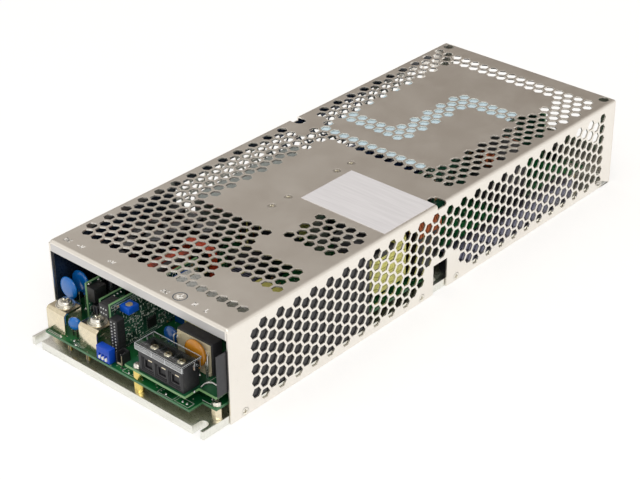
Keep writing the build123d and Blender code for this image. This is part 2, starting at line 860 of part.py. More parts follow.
def busbar(x):
    """The bent strip of one terminal"""
    with BuildPart() as bar:
        for inset, mode in ((0, Mode.ADD), (bar_t, Mode.SUBTRACT)):
            with BuildSketch(Plane.YZ.offset(x - bar_w / 2)) as section:
                with Locations((bar_front + bar_l / 2, board_top)):
                    Rectangle(bar_l - 2 * inset, bar_h - inset, align=(Align.CENTER, Align.MIN))
                fillet(section.vertices().group_by(Axis.Y)[-1], bar_r - inset)
            extrude(amount=bar_w, mode=mode)
        with Locations((x, hole_y, bar_top - bar_t)):
            Box(bar_nut_w, bar_nut_w, bar_nut_h, align=(Align.CENTER, Align.CENTER, Align.MAX))
        with BuildSketch(Plane.XY.offset(bar_top)):
            for side in (-1, 1):
                across, rear = x + side * bar_w / 2, bar_front + bar_l
                with BuildLine():
                    Polyline(
                        (across, rear),
                        (across - side * bar_corner, rear),
                        (across, rear - bar_corner),
                        close=True,
                    )
                make_face()
        extrude(amount=-bar_h, mode=Mode.SUBTRACT)
    return bar.part


finish(busbar(bar_x[0]), "negative_busbar")
finish(busbar(bar_x[1]), "positive_busbar")
bar_places = [(x, hole_y) for x in bar_x]
with BuildPart() as bar_washers:
    screw_heads(bar_places, bar_top, bar_washer_d, bar_washer_t)
finish(bar_washers.part, "busbar_washers")
with BuildPart() as bar_screws:
    seat = bar_top + bar_washer_t
    screw_heads(bar_places, seat, bar_head_d, bar_head_h)
    cross_recess(bar_places, seat + bar_head_h, bar_head_d * 0.6, bar_screw_recess, bar_screw_recess)
finish(bar_screws.part, "busbar_screws")

# Small upright boards and capacitors behind the direct-current terminals
for name, x, near, far, tallness in (
    ("sense_board", sense_x, sense_front, sense_end, sense_h),
    ("link_board", link_x, link_front, link_end, link_h),
):
    with BuildPart() as upright:
        block((x - board_t / 2, x + board_t / 2), (deep(near), deep(far)), (board_top, board_top + tallness))
    finish(upright.part, name)
with BuildPart() as sense_chip:
    high = board_top + sense_h - board_t
    x, y = sense_x + board_t / 2, deep(sense_front)
    block((x, x + sense_chip_t), (y, y + sense_chip_l), (high - sense_chip_h, high))
finish(sense_chip.part, "sense_chip")
with BuildPart() as small_cap:
    with Locations((small_cap_x, deep(small_cap_deep), board_top)):
        Cylinder(small_cap_d / 2, small_cap_h, align=(Align.CENTER, Align.CENTER, Align.MIN))
finish(small_cap.part, "small_capacitor")
with BuildPart() as output_caps:
    with Locations(*[(x, deep(d), board_top) for x, d in output_caps_at]):
        Cylinder(output_cap_d / 2, output_cap_h, align=(Align.CENTER, Align.CENTER, Align.MIN))
finish(output_caps.part, "output_capacitors")


# Ring-shaped cores that stand on the main board, seen along X
def standing_ring(x, y, z, leg, slab):
    """A rectangular ring with its window open along X"""
    block(x, y, z)
    block(x, (y[0] + leg, y[1] - leg), (z[0] + slab, z[1] - slab), Mode.SUBTRACT)


def coil(x, y, z):
    """A winding with its upright corners taken off"""
    with BuildSketch(Plane.XY.offset(z[0])) as section:
        with Locations(((x[0] + x[1]) / 2, (y[0] + y[1]) / 2)):
            Rectangle(x[1] - x[0], y[1] - y[0])
        chamfer(section.vertices(), coil_corner)
    extrude(section.sketch, amount=z[1] - z[0])


aux_top = board_top + aux_h
aux_y = (deep(aux_deep), deep(aux_deep) + aux_l)
with BuildPart() as aux_core:
    sides = (aux_x - aux_w / 2 + aux_core_inset, aux_x + aux_w / 2 - aux_core_inset)
    standing_ring(sides, aux_y, (board_top, aux_top), aux_leg, aux_leg)
finish(aux_core.part, "aux_transformer_core")
with BuildPart() as aux_coil:
    edge_gap = aux_leg + coil_gap
    coil(
        (aux_x - aux_w / 2, aux_x + aux_w / 2),
        (aux_y[0] + edge_gap, aux_y[1] - edge_gap),
        (board_top + edge_gap, aux_top - edge_gap),
    )
finish(aux_coil.part, "aux_transformer_winding")

# Power transformers, one near the right wall and one left of the middle
transformer_y = (deep(transformer_deep), deep(transformer_deep) + transformer_l)
with BuildPart() as transformer_cores:
    for x in transformer_x:
        half = transformer_w / 2 - transformer_core_inset
        sides = (x - half, x + half)
        standing_ring(sides, transformer_y, (board_top, tall), transformer_leg, transformer_slab)
finish(transformer_cores.part, "transformer_cores")
with BuildPart() as transformer_coils:
    for x in transformer_x:
        coil(
            (x - transformer_w / 2, x + transformer_w / 2),
            (transformer_y[0] + transformer_leg + coil_gap, transformer_y[1] - transformer_leg - coil_gap),
            (board_top + transformer_slab + coil_gap, tall - transformer_slab - coil_gap),
        )
finish(transformer_coils.part, "transformer_windings")

# Inductors: a ring core seen along Y, with its copper winding on the upper bar
with BuildPart() as inductor_cores:
    for middle, wide, near, long in inductors_at:
        left, right = middle - wide / 2, middle + wide / 2
        y = (deep(near) + inductor_core_inset, deep(near) + long - inductor_core_inset)
        z = (board_top, tall - inductor_wire)
        window = (z[0] + inductor_leg, z[1] - inductor_leg)
        block((left, right), y, z)
        block((left + inductor_leg, right - inductor_leg), y, window, Mode.SUBTRACT)
finish(inductor_cores.part, "inductor_cores")
with BuildPart() as inductor_coils:
    for middle, wide, near, long in inductors_at:
        half = wide / 2 - inductor_leg - coil_gap
        x = (middle - half, middle + half)
        low = tall - inductor_wire - inductor_leg
        block(x, (deep(near), deep(near) + long), (low - inductor_wire, tall))
        bore = inductor_core_inset - coil_gap
        bore_z = (low - coil_gap, tall - inductor_wire + coil_gap)
        block(x, (deep(near) + bore, deep(near) + long - bore), bore_z, Mode.SUBTRACT)
finish(inductor_coils.part, "inductor_windings")

# Storage capacitors, lying along the unit
with BuildPart() as cans:
    axis_z = board_top + can_d / 2 + can_lift
    can_rows = (can_x, can_x + can_d + can_gap)
    with Locations(*[Plane((x, deep(d), axis_z), z_dir=(0, 1, 0)) for x in can_rows for d in can_deep]):
        Cylinder(can_d / 2, can_l, align=(Align.CENTER, Align.CENTER, Align.MIN))
finish(cans.part, "storage_capacitors")

# Driver board, side rails and the power devices flat on the base plate
driver_y = (deep(driver_front), deep(driver_end))
with BuildPart() as driver_board:
    block((driver_x, driver_x + board_t), driver_y, (board_top, board_top + driver_h))
finish(driver_board.part, "driver_board")
with BuildPart() as side_rails:
    rail_z = (plate_t, plate_t + rail_h)
    block((rail_x - rail_w, rail_x), (deep(right_rail_start), deep(rail_end)), rail_z)
    block((-rail_x, rail_w - rail_x), (deep(left_rail_start), deep(rail_end)), rail_z)
finish(side_rails.part, "side_rails")
with BuildPart() as power_devices:
    with Locations(*[(s * device_x, deep(d), plate_t) for s in (-1, 1) for d in device_deep]):
        Box(device_w, device_l, device_h, align=(Align.CENTER, Align.MIN, Align.MIN))
finish(power_devices.part, "power_devices")
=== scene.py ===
"""Looks of a slim, base-cooled power supply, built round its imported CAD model. Forms are in millimetres."""

import math
import random

import bmesh
import bpy
from mathutils import Matrix, Vector
from mathutils.geometry import tessellate_polygon


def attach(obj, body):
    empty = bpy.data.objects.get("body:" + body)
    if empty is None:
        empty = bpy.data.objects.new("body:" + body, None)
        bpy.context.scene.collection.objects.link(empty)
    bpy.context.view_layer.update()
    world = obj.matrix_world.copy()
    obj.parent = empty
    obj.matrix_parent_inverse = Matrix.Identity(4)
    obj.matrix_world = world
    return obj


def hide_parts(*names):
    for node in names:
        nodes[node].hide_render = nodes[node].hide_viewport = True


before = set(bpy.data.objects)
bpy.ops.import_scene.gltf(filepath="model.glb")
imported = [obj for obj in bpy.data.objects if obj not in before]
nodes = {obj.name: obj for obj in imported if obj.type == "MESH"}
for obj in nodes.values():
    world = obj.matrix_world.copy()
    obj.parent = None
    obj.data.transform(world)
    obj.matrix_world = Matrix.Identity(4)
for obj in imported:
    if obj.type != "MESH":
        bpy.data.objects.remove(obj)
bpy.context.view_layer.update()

# Main places of the CAD model: X goes across, Y to the rear and Z up
MM = 0.001
FRONT = -170.6
BACK = 190.0
EDGE = 70.7
TOP = 60.0
SHEET = 1.0
BEND = 1.8
BOARD_TOP = 13.6
AC_TOP = 21.0
POLES = (26.2, 36.5, 46.8)
OUTPUTS = (-51.3, -24.1)
TOP_SCREW_X = -2.2
TOP_SCREWS = (111.0, 125.0, 168.0, 181.0)
SIDE_SCREWS = (11.0, 161.0, 194.0, 347.0)
SIDE_SCREW_Z = 2.6
UP = (0, 0, 1)
TO_FRONT = (0, -1, 0)


def deep(distance):
    """Y of a place this far behind the cover's front edge"""
    return FRONT + distance


def route(*points):
    """Points whose second number is a distance behind the cover's front edge"""
    return [(x, deep(distance), z) for x, distance, z in points]


def circle(x, y, radius, count=32):
    """Points round a centre; six of them make a vent"""
    angles = [2 * math.pi * i / count for i in range(count)]
    return [(x + radius * math.cos(a), y + radius * math.sin(a)) for a in angles]


def grid_faces(rows, columns):
    """The faces of a grid of points that are listed row by row"""
    return [
        (i * columns + j, i * columns + j + 1, (i + 1) * columns + j + 1, (i + 1) * columns + j)
        for i in range(rows - 1)
        for j in range(columns - 1)
    ]


# Materials
def shade(red, green, blue):
    """A display colour, 0 to 255, as the linear values that a shader takes"""
    values = [v / 255 for v in (red, green, blue)]
    return tuple(v / 12.92 if v <= 0.04045 else ((v + 0.055) / 1.055) ** 2.4 for v in values) + (1.0,)


def tinted(colour, share):
    """A colour made darker or lighter by a share"""
    return tuple(min(1.0, max(0.0, v * (1 + share))) for v in colour[:3]) + (1.0,)


class Nodes:
    """Shortcuts for a node tree, where a value is a number, a colour or another node's socket"""

    def __init__(self, tree):
        self.tree = tree

    def feed(self, socket, value):
        if isinstance(value, bpy.types.NodeSocket):
            self.tree.links.new(value, socket)
        else:
            socket.default_value = value

    def node(self, kind, inputs, **settings):
        """A new node, its inputs given by name or number"""
        made = self.tree.nodes.new(kind)
        for key, value in settings.items():
            setattr(made, key, value)
        for key, value in inputs.items():
            self.feed(made.inputs[key], value)
        return made

    def compute(self, operation, *values):
        return self.node("ShaderNodeMath", dict(enumerate(values)), operation=operation).outputs[0]

    def spread(self, value, low, high, start=0.3, end=0.7):
        """A value's range from start to end, stretched to one from low to high"""
        limits = {"From Min": start, "From Max": end, "To Min": low, "To Max": high}
        return self.node("ShaderNodeMapRange", {"Value": value, **limits}).outputs["Result"]

    def mix(self, share, first, second):
        return self.node("ShaderNodeMix", {0: share, 6: first, 7: second}, data_type="RGBA").outputs[2]


class Look(Nodes):
    """A material with a Principled shader"""

    def __init__(self, name):
        self.material = bpy.data.materials.new(name)
        self.material.use_nodes = True
        super().__init__(self.material.node_tree)
        self.shader = self.tree.nodes["Principled BSDF"]

    def place(self, scale, face="Z"):
        """Object coordinates in units of 1 / scale metres, turned so that a face's own plane is XY"""
        at = self.node("ShaderNodeTexCoord", {}).outputs["Object"]
        if face != "Z":
            parts = self.node("ShaderNodeSeparateXYZ", {0: at}).outputs
            order = (1, 2, 0) if face == "X" else (0, 2, 1)
            turned = {i: parts[source] for i, source in enumerate(order)}
            at = self.node("ShaderNodeCombineXYZ", turned).outputs[0]
        scales = scale if isinstance(scale, tuple) else (scale,) * 3
        return self.node("ShaderNodeMapping", {"Vector": at, "Scale": scales}).outputs["Vector"]

    def noise(self, scale, detail=3.0, rough=0.55, face="Z"):
        inputs = {"Vector": self.place(scale, face), "Scale": 1.0, "Detail": detail, "Roughness": rough}
        return self.node("ShaderNodeTexNoise", inputs).outputs["Fac"]

    def bump(self, height, strength, distance=0.0001):
        inputs = {"Height": height, "Strength": strength, "Distance": distance}
        self.set(Normal=self.node("ShaderNodeBump", inputs).outputs["Normal"])

    def set(self, **values):
        """Gives the shader's inputs their values, with _ for a space in a name"""
        for key, value in values.items():
            self.feed(self.shader.inputs[key.replace("_", " ")], value)


def finish(name, colour, metal, rough, scale, vary, spread=0.08, bump=0.1, fine=6.0, coat=0.0):
    """A surface with uneven colour and gloss and a fine grain"""
    look = Look(name)
    fine_scale = tuple(s * fine for s in scale) if isinstance(scale, tuple) else scale * fine
    grain = look.noise(fine_scale, 2.0)
    broad = look.spread(look.noise(scale), 0, 1)
    look.set(
        Base_Color=look.mix(broad, tinted(colour, -vary), tinted(colour, vary)),
        Roughness=look.spread(grain, max(0.02, rough - spread), rough + spread),
        Metallic=metal,
    )
    look.bump(grain, bump)
    if coat:
        look.set(Coat_Weight=coat, Coat_Roughness=0.08)
    return look.material


def board_finish(name, face, mask, trace, edge, under=None):
    """Solder mask over tracks, tinned pads and a pale cut edge, with its own colour underneath if given"""
    look = Look(name)
    tracks = []
    for scale, width in ((520.0, 0.16), (210.0, 0.1)):
        inputs = {"Vector": look.place(scale, face), "Scale": 1.0, "Mortar Size": width, "Mortar Smooth": 0.3}
        brick = look.node("ShaderNodeTexBrick", inputs, offset=0.37, squash=1.7, squash_frequency=3)
        tracks.append(brick.outputs["Fac"])
    patch = look.noise(60.0, 2.0, face=face)
    shown = look.compute("MAXIMUM", *tracks)
    shown = look.compute("MULTIPLY", shown, look.spread(patch, 0.15, 1.0, 0.42, 0.56))
    inputs = {"Vector": look.place(330.0, face), "Scale": 1.0, "Randomness": 0.75}
    dots = look.node("ShaderNodeTexVoronoi", inputs, feature="F1")
    pad = look.compute("LESS_THAN", dots.outputs["Distance"], 0.13)
    colour = look.mix(pad, look.mix(shown, mask, trace), shade(205, 205, 190))
    normal = look.node("ShaderNodeTexCoord", {}).outputs["Normal"]
    facing = look.node("ShaderNodeSeparateXYZ", {0: normal}).outputs["XYZ".index(face)]
    if under:
        colour = look.mix(look.compute("LESS_THAN", facing, -0.7), colour, under)
    on_face = look.compute("GREATER_THAN", look.compute("ABSOLUTE", facing), 0.7)
    look.set(Base_Color=look.mix(on_face, edge, colour), Roughness=look.spread(patch, 0.26, 0.4))
    look.bump(shown, 0.5, 0.00005)
    return look.material


def label_finish():
    """A blank silvery film with faint streaks"""
    look = Look("label_film_look")
    streak = look.spread(look.noise((40.0, 700.0, 40.0), 2.0), 0, 1)
    look.set(
        Base_Color=look.mix(streak, shade(226, 225, 229), shade(236, 235, 239)),
        Roughness=look.spread(look.noise(700.0), 0.32, 0.44),
        Metallic=0.1,
    )
    look.bump(look.noise(1500.0), 0.05)
    return look.material


def clear_finish(name, colour, share, gloss_scale, gloss, flow_scale, flow):
    """Plastic with faint flow marks that lets a share of the light through"""
    look = Look(name)
    look.set(Base_Color=colour, Transmission_Weight=share, IOR=1.5)
    look.set(Roughness=look.spread(look.noise(gloss_scale), *gloss))
    look.bump(look.noise(flow_scale, 1.0), flow)
    return look.material


def tape_finish(name, colour, dark):
    """Glossy winding tape with the edges of its turns"""
    look = Look(name)
    inputs = {"Vector": look.place(75.0), "Scale": 1.0, "Distortion": 1.4}
    wave = look.node("ShaderNodeTexWave", inputs, bands_direction="Z").outputs["Fac"]
    broad = look.noise(160.0)
    base = look.mix(look.spread(broad, 0, 1), tinted(colour, -0.12), tinted(colour, 0.08))
    turn_edge = look.spread(wave, 0, 1, 0.9, 1.0)
    look.set(Base_Color=look.mix(turn_edge, base, dark), Roughness=look.spread(broad, 0.18, 0.36))
    look.bump(wave, 0.3, 0.0002)
    return look.material


def sheet_finish(name, duller_tone, paler_tone):
    """Plated steel sheet: fine rolled grain, cloudy tone and gloss, and a few rubbed marks"""
    look = Look(name)
    rolled = look.noise((900.0, 120.0, 900.0))
    cloud = look.noise(34.0, 4.0, 0.6)
    marked = look.compute("GREATER_THAN", look.noise(1700.0, 2.0), 0.74)
    base = look.mix(look.spread(cloud, 0, 1), duller_tone, paler_tone)
    gloss = look.spread(look.compute("ADD", rolled, cloud), 0.36, 0.43, 0.75, 1.25)
    look.set(Base_Color=look.mix(marked, base, shade(190, 182, 170)), Roughness=gloss, Metallic=1.0)
    look.bump(rolled, 0.07)
    return look.material


# Colour, metal, roughness, scale and variation, then spread of gloss, bump, fineness of grain and coat
FINISHES = {
    "plate": ((234, 234, 227), 1.0, 0.3, (60.0, 900.0, 200.0), 0.05, 0.06, 0.06),
    "post_metal": ((112, 114, 132), 1.0, 0.36, (300.0, 60.0, 500.0), 0.06),
    "zinc": ((232, 229, 220), 1.0, 0.26, 500.0, 0.08, 0.08, 0.1),
    "nickel": ((228, 217, 190), 1.0, 0.2, 420.0, 0.06, 0.08, 0.12),
    "tin": ((222, 222, 220), 1.0, 0.24, 700.0, 0.1, 0.1, 0.3),
    "brass": ((228, 204, 122), 1.0, 0.24, 500.0, 0.1, 0.08, 0.12),
    "dark_metal": ((110, 106, 96), 1.0, 0.28, 500.0, 0.1, 0.08, 0.15),
    "copper": ((158, 90, 60), 1.0, 0.36, 500.0, 0.14, 0.08, 0.1),
    "can_top": ((120, 122, 128), 1.0, 0.38, 500.0, 0.06, 0.06, 0.15),
    "rotor": ((226, 206, 164), 0.5, 0.4, 600.0, 0.08, 0.08, 0.2),
    "silver_film": ((196, 199, 198), 0.3, 0.3, 200.0, 0.12, 0.1, 0.5, 2.0),
    "pale_sheet": ((168, 176, 176), 0.2, 0.4, 120.0, 0.1, 0.1, 0.2),
    # The grey film's own grey, darkened a little as painted shade for the part behind the right wall
    "grey_film": ((47, 48, 53), 0.0, 0.36, 120.0, 0.1, 0.08, 0.15),
    # The left film's own colour, also used for the strip painted as shade inside the left wall
    "dark_film": ((26, 36, 52), 0.0, 0.3, 90.0, 0.18, 0.1, 0.2),
    "heat_pad": ((202, 224, 236), 0.0, 0.75, 260.0, 0.05, 0.06, 0.4),
    "block_black": ((38, 38, 41), 0.0, 0.5, 420.0, 0.16, 0.08, 0.35),
    "chip": ((30, 31, 33), 0.0, 0.42, 700.0, 0.15, 0.08, 0.3),
    "ferrite": ((52, 52, 55), 0.0, 0.48, 380.0, 0.2, 0.1, 0.4),
    "socket_grey": ((70, 70, 73), 0.0, 0.4, 500.0, 0.1, 0.08, 0.2),
    "cream": ((206, 196, 166), 0.0, 0.5, 260.0, 0.06, 0.08, 0.12),
    "tan": ((172, 138, 100), 0.0, 0.5, 900.0, 0.15, 0.08, 0.15),
    "film_cap": ((182, 176, 96), 0.0, 0.36, 240.0, 0.07, 0.08, 0.15),
    "trimmer_blue": ((6, 88, 206), 0.0, 0.42, 360.0, 0.08, 0.06, 0.15),
    "switch_blue": ((4, 74, 196), 0.0, 0.46, 360.0, 0.08, 0.06, 0.15),
    "lever_white": ((246, 246, 242), 0.0, 0.4, 500.0, 0.03, 0.06, 0.1),
    # Near-white strips on the clear cover's edges: painted highlights
    "painted_edge_highlight": ((236, 240, 243), 0.0, 0.25, 400.0, 0.05, 0.1, 0.2),
    "silk": ((224, 228, 220), 0.0, 0.6, 900.0, 0.05, 0.06, 0.1),
    "mark": ((252, 250, 244), 0.0, 0.5, 900.0, 0.1, 0.06, 0.2),
    "blue_ring": ((126, 138, 152), 0.0, 0.5, 900.0, 0.1, 0.06, 0.2),
    "varistor": ((198, 132, 36), 0.0, 0.16, 220.0, 0.08, 0.05, 0.16, 3.0, 0.5),
    "disc_blue": ((10, 114, 204), 0.0, 0.16, 220.0, 0.08, 0.05, 0.16, 3.0, 0.5),
    "line_blue": ((16, 74, 140), 0.0, 0.18, 220.0, 0.1, 0.05, 0.16, 3.0, 0.4),
    "can_black": ((24, 25, 30), 0.0, 0.28, 200.0, 0.2, 0.08, 0.12, 5.0, 0.2),
    "sleeve_blue": ((34, 66, 120), 0.0, 0.28, 200.0, 0.12, 0.08, 0.12, 5.0, 0.2),
}
LOWER_GREEN = (shade(8, 64, 34), shade(22, 106, 54), shade(62, 118, 78), shade(150, 156, 132))
GREEN = (shade(8, 50, 34), shade(26, 92, 58), shade(122, 166, 112))
DARK_GREEN = (shade(5, 34, 26), shade(36, 92, 70), shade(112, 158, 108))
looks = {name: finish(name + "_look", shade(*colour), *rest) for name, (colour, *rest) in FINISHES.items()}
looks |= {
    "sheet": sheet_finish("folded_sheet_look", shade(240, 235, 227), shade(244, 240, 233)),
    # The front lip is the same sheet with both tones darkened: painted shade
    "lip": sheet_finish("sheet_lip_painted_shade_look", shade(206, 205, 205), shade(212, 211, 210)),
    "label": label_finish(),
    "board_flat": board_finish("board_green_flat", "Z", *GREEN),
    "board_lower": board_finish("board_green_lower", "Z", *LOWER_GREEN),
    "board_upright": board_finish("board_green_upright", "X", *DARK_GREEN),
    "board_across": board_finish("board_green_across", "Y", *DARK_GREEN),
    "clear": clear_finish("clear_plastic_look", shade(246, 250, 252), 1.0, 250.0, (0.0, 0.03), 60.0, 0.02),
    "frost": clear_finish("clear_lip_look", shade(240, 243, 246), 0.72, 400.0, (0.1, 0.22), 300.0, 0.05),
    "tape_red": tape_finish("tape_red_look", shade(184, 68, 40), shade(90, 32, 18)),
    "tape_yellow": tape_finish("tape_yellow_look", shade(248, 246, 150), shade(170, 168, 70)),
}

# The record's slot that a look belongs to, where its name is another one
SLOTS = {
    "sheet": "folded_sheet", "pale_sheet": "folded_sheet", "mark": "folded_sheet",
    "blue_ring": "folded_sheet", "plate": "anodised_plate", "zinc": "zinc_screws", "tin": "nickel",
    "rotor": "brass", "copper": "copper_wire", "cream": "bobbin_cream", "film_cap": "film_cap_yellow",
    "varistor": "varistor_orange", "line_blue": "disc_blue", "sleeve_blue": "can_black",
    "clear": "clear_plastic", "socket_grey": "block_black", "chip": "block_black",
    "board_across": "board_green",
}


# Mesh helpers
def placed(at, axis=UP):
    """A matrix that puts a form's Z along an axis at a point"""
    turn = Vector(UP).rotation_difference(Vector(axis)).to_matrix().to_4x4()
    return Matrix.Translation(Vector(at)) @ turn


class Shape:
    """A mesh gathered from simple forms"""

    def __init__(self):
        self.verts, self.faces, self.marks, self.frame = [], [], [], Matrix.Identity(4)

    def put(self, at=None, axis=UP):
        """Moves what comes next to X, depth and Z, or without a place back to where it began"""
        self.frame = placed(*route(at), axis) if at else Matrix.Identity(4)

    def add(self, verts, faces, mat=0):
        start = len(self.verts)
        self.verts += [self.frame @ Vector(v) * MM for v in verts]
        self.faces += [tuple(i + start for i in f) for f in faces]
        self.marks += [mat] * len(faces)

    def block(self, x, y, z, cut=0.15, mat=0):
        """A box with every edge taken off"""
        spans = (x, y, z)
        cut = min([cut] + [(s[1] - s[0]) / 3 for s in spans])
        verts, index = [], {}
        for corner in range(8):
            bits = [(corner >> k) & 1 for k in range(3)]
            sharp = [span[bit] for span, bit in zip(spans, bits)]
            inset = [value + (-cut if bit else cut) for value, bit in zip(sharp, bits)]
            for axis in range(3):
                index[corner, axis] = len(verts)
                verts.append([sharp[k] if k == axis else inset[k] for k in range(3)])
        faces = [[index[corner, k] for k in range(3)] for corner in range(8)]
        for axis in range(3):
            first, second = (axis + 1) % 3, (axis + 2) % 3
            one, two, step = 1 << first, 1 << second, 1 << axis
            for side in (0, step):
                faces.append([index[side + corner, axis] for corner in (0, one, one + two, two)])
            for low in (0, two, one, one + two):
                high = low + step
                faces.append([index[low, first], index[high, first], index[high, second], index[low, second]])
        self.add(verts, faces, mat)

    def deep_block(self, x, depth, z, cut=0.15, mat=0):
        """A block whose second span is measured back from the cover's front edge"""
        self.block(x, (deep(depth[0]), deep(depth[1])), z, cut, mat)

    def lathe(self, profile, seg=28, mat=0):
        """A profile of (radius, height) turned round Z"""
        verts, faces, rings = [], [], []
        for radius, height in profile:
            if radius <= 1e-6:
                rings.append([len(verts)] * seg)
                verts.append((0, 0, height))
            else:
                rings.append(list(range(len(verts), len(verts) + seg)))
                verts += [(x, y, height) for x, y in circle(0, 0, radius, seg)]
        for low, high in zip(rings, rings[1:]):
            for i in range(seg):
                j = (i + 1) % seg
                face = list(dict.fromkeys((low[i], low[j], high[j], high[i])))
                if len(face) > 2:
                    faces.append(face)
        self.add(verts, faces, mat)

    def tube(self, points, radius, seg=8, mat=0):
        """A round wire along points"""
        points = [Vector(p) for p in points]
        verts, side = [], None
        for i, point in enumerate(points):
            ahead = (points[min(i + 1, len(points) - 1)] - points[max(i - 1, 0)]).normalized()
            if side is None:
                side = ahead.orthogonal().normalized()
            side = (side - ahead * side.dot(ahead)).normalized()
            up = ahead.cross(side)
            verts += [point + (side * x + up * y) * radius for x, y in circle(0, 0, 1, seg)]
        faces = []
        for i in range(len(points) - 1):
            for k in range(seg):
                a, b = i * seg + k, i * seg + (k + 1) % seg
                faces.append((a, b, b + seg, a + seg))
        faces += [tuple(range(seg)), tuple(range(len(verts) - seg, len(verts)))]
        self.add(verts, faces, mat)

    def prism(self, outline, low, high, cut):
        """An outline in XY drawn up between two heights, its upper rim taken off"""
        middle = sum((Vector(p) for p in outline), Vector((0, 0))) / len(outline)
        inner = [Vector(p) + (middle - Vector(p)).normalized() * cut for p in outline]
        n = len(outline)
        verts = [(p[0], p[1], z) for z in (low, high - cut) for p in outline]
        verts += [(p.x, p.y, high) for p in inner]
        faces = [tuple(range(n)), tuple(range(2 * n, 3 * n))]
        for i in range(n):
            j = (i + 1) % n
            faces += [(i, j, j + n, i + n), (i + n, j + n, j + 2 * n, i + 2 * n)]
        self.add(verts, faces)

    def head(self, radius, tall, low=0.0, arm=0.58, wide=0.13, depth=0.6, flush=False):
        """A domed or flush screw head with a cross recess"""
        count = 28
        a, w, top = radius * arm, radius * wide, low + tall
        if flush:
            ring, rim = radius * 0.97, top
            profile = [(radius * 0.35, low), (radius * 0.99, top - 0.05), (ring, rim)]
        else:
            ring, rim = radius * 0.74, top - tall * 0.05
            profile = [(0, low), (radius, low), (radius, low + tall * 0.42)]
            profile += [(radius * 0.95, low + tall * 0.68), (radius * 0.86, low + tall * 0.85), (ring, rim)]
        self.lathe(profile, count)
        quarter = [(a, -w), (a, w), (w, w)]
        cross = quarter + [(-y, x) for x, y in quarter] + [(-x, -y) for x, y in quarter]
        cross += [(y, -x) for x, y in quarter]
        outer, inner = circle(0, 0, ring, count), cross[::-1]
        flat = [[Vector((x, y, 0)) for x, y in loop] for loop in (outer, inner)]
        verts = [(x, y, rim) for x, y in outer] + [(x, y, top) for x, y in inner]
        self.add(verts, tessellate_polygon(flat))
        walls = [(x, y, top) for x, y in cross] + [(x * 0.62, y * 0.8, top - depth * tall) for x, y in cross]
        n = len(cross)
        faces = [(i, (i + 1) % n, (i + 1) % n + n, i + n) for i in range(n)] + [tuple(range(n, 2 * n))]
        self.add(walls, faces)

    def make(self, name, materials, slot=None, body="chassis", stands_for=(), join=False):
        """Makes the piece from its looks; a slot, given or taken from its first look, is worked out but not
        used
        """
        slot = slot or SLOTS.get(materials[0], materials[0])
        mesh = bpy.data.meshes.new(name)
        mesh.from_pydata([tuple(v) for v in self.verts], [], self.faces)
        for material in materials:
            mesh.materials.append(looks[material])
        mesh.polygons.foreach_set("material_index", self.marks)
        make_piece(name, mesh, body, stands_for, join)

    def stand_in(self, node, materials, slot=None, body="chassis"):
        """Makes a piece that stands for a CAD node"""
        self.make(node + "_shown", materials, slot, body, (node,))


def make_piece(name, mesh, body, stands_for, join=False):
    """Links a mesh as a piece that rides on a body"""
    bm = bmesh.new()
    bm.from_mesh(mesh)
    if join:
        bmesh.ops.remove_doubles(bm, verts=bm.verts, dist=1e-6)
    bmesh.ops.recalc_face_normals(bm, faces=bm.faces)
    bm.to_mesh(mesh)
    bm.free()
    mesh.polygons.foreach_set("use_smooth", [True] * len(mesh.polygons))
    mesh.set_sharp_from_angle(angle=math.radians(34))
    made = bpy.data.objects.new(name, mesh)
    bpy.context.scene.collection.objects.link(made)
    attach(made, body)
    if stands_for:
        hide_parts(*stands_for)


def make_blocks(name, materials, blocks, stands_for=()):
    """A piece of blocks alone: each has its spans across, back and up, its cut and its material's number"""
    shape = Shape()
    for block in blocks:
        shape.deep_block(*block)
    shape.make(name, materials, stands_for=stands_for)


def soften(node, cut, material, body="chassis"):
    """A copy of a CAD node with its sharp edges rounded, which then stands for it"""
    bm = bmesh.new()
    bm.from_mesh(nodes[node].data)
    bmesh.ops.remove_doubles(bm, verts=bm.verts, dist=1e-6)
    bmesh.ops.dissolve_limit(bm, angle_limit=math.radians(2), verts=bm.verts, edges=bm.edges)
    sharp = [e for e in bm.edges if len(e.link_faces) == 2 and e.calc_face_angle() > math.radians(28)]
    bmesh.ops.bevel(
        bm, geom=sharp, offset=cut * MM, segments=2, profile=0.5, affect="EDGES", clamp_overlap=True
    )
    mesh = bpy.data.meshes.new(node + "_shown")
    bm.to_mesh(mesh)
    bm.free()
    mesh.materials.clear()
    mesh.materials.append(looks[material])
    make_piece(node + "_shown", mesh, body, (node,))


def dress(node, material):
    """Gives a CAD node, whose shape is right, its finish"""
    for slot in nodes[node].material_slots:
        slot.material = looks[material]


def panel(name, outline, holes, matrix, look="sheet"):
    """A sheet of the cover with holes, drawn flat and put in its plane"""
    soft = 0.07
    curve = bpy.data.curves.new(name, "CURVE")
    curve.dimensions = "2D"
    curve.fill_mode = "BOTH"
    for loop in [outline] + holes:
        line = curve.splines.new("POLY")
        line.points.add(len(loop) - 1)
        for point, (x, y) in zip(line.points, loop):
            point.co = (x * MM, y * MM, 0, 1)
        line.use_cyclic_u = True
    curve.bevel_depth = soft * MM
    curve.bevel_resolution = 0
    curve.offset = -soft * MM
    curve.extrude = (SHEET / 2 - soft) * MM
    holder = bpy.data.objects.new(name + "_line", curve)
    bpy.context.scene.collection.objects.link(holder)
    bpy.context.view_layer.update()
    flat = bpy.data.meshes.new_from_object(holder.evaluated_get(bpy.context.evaluated_depsgraph_get()))
    bpy.data.objects.remove(holder)
    scaled = matrix.copy()
    scaled.translation = matrix.translation * MM
    flat.transform(scaled)
    flat.materials.clear()
    flat.materials.append(looks[look])
    flat.polygons.foreach_set("material_index", [0] * len(flat.polygons))
    make_piece(name, flat, "chassis", ("cover",), True)
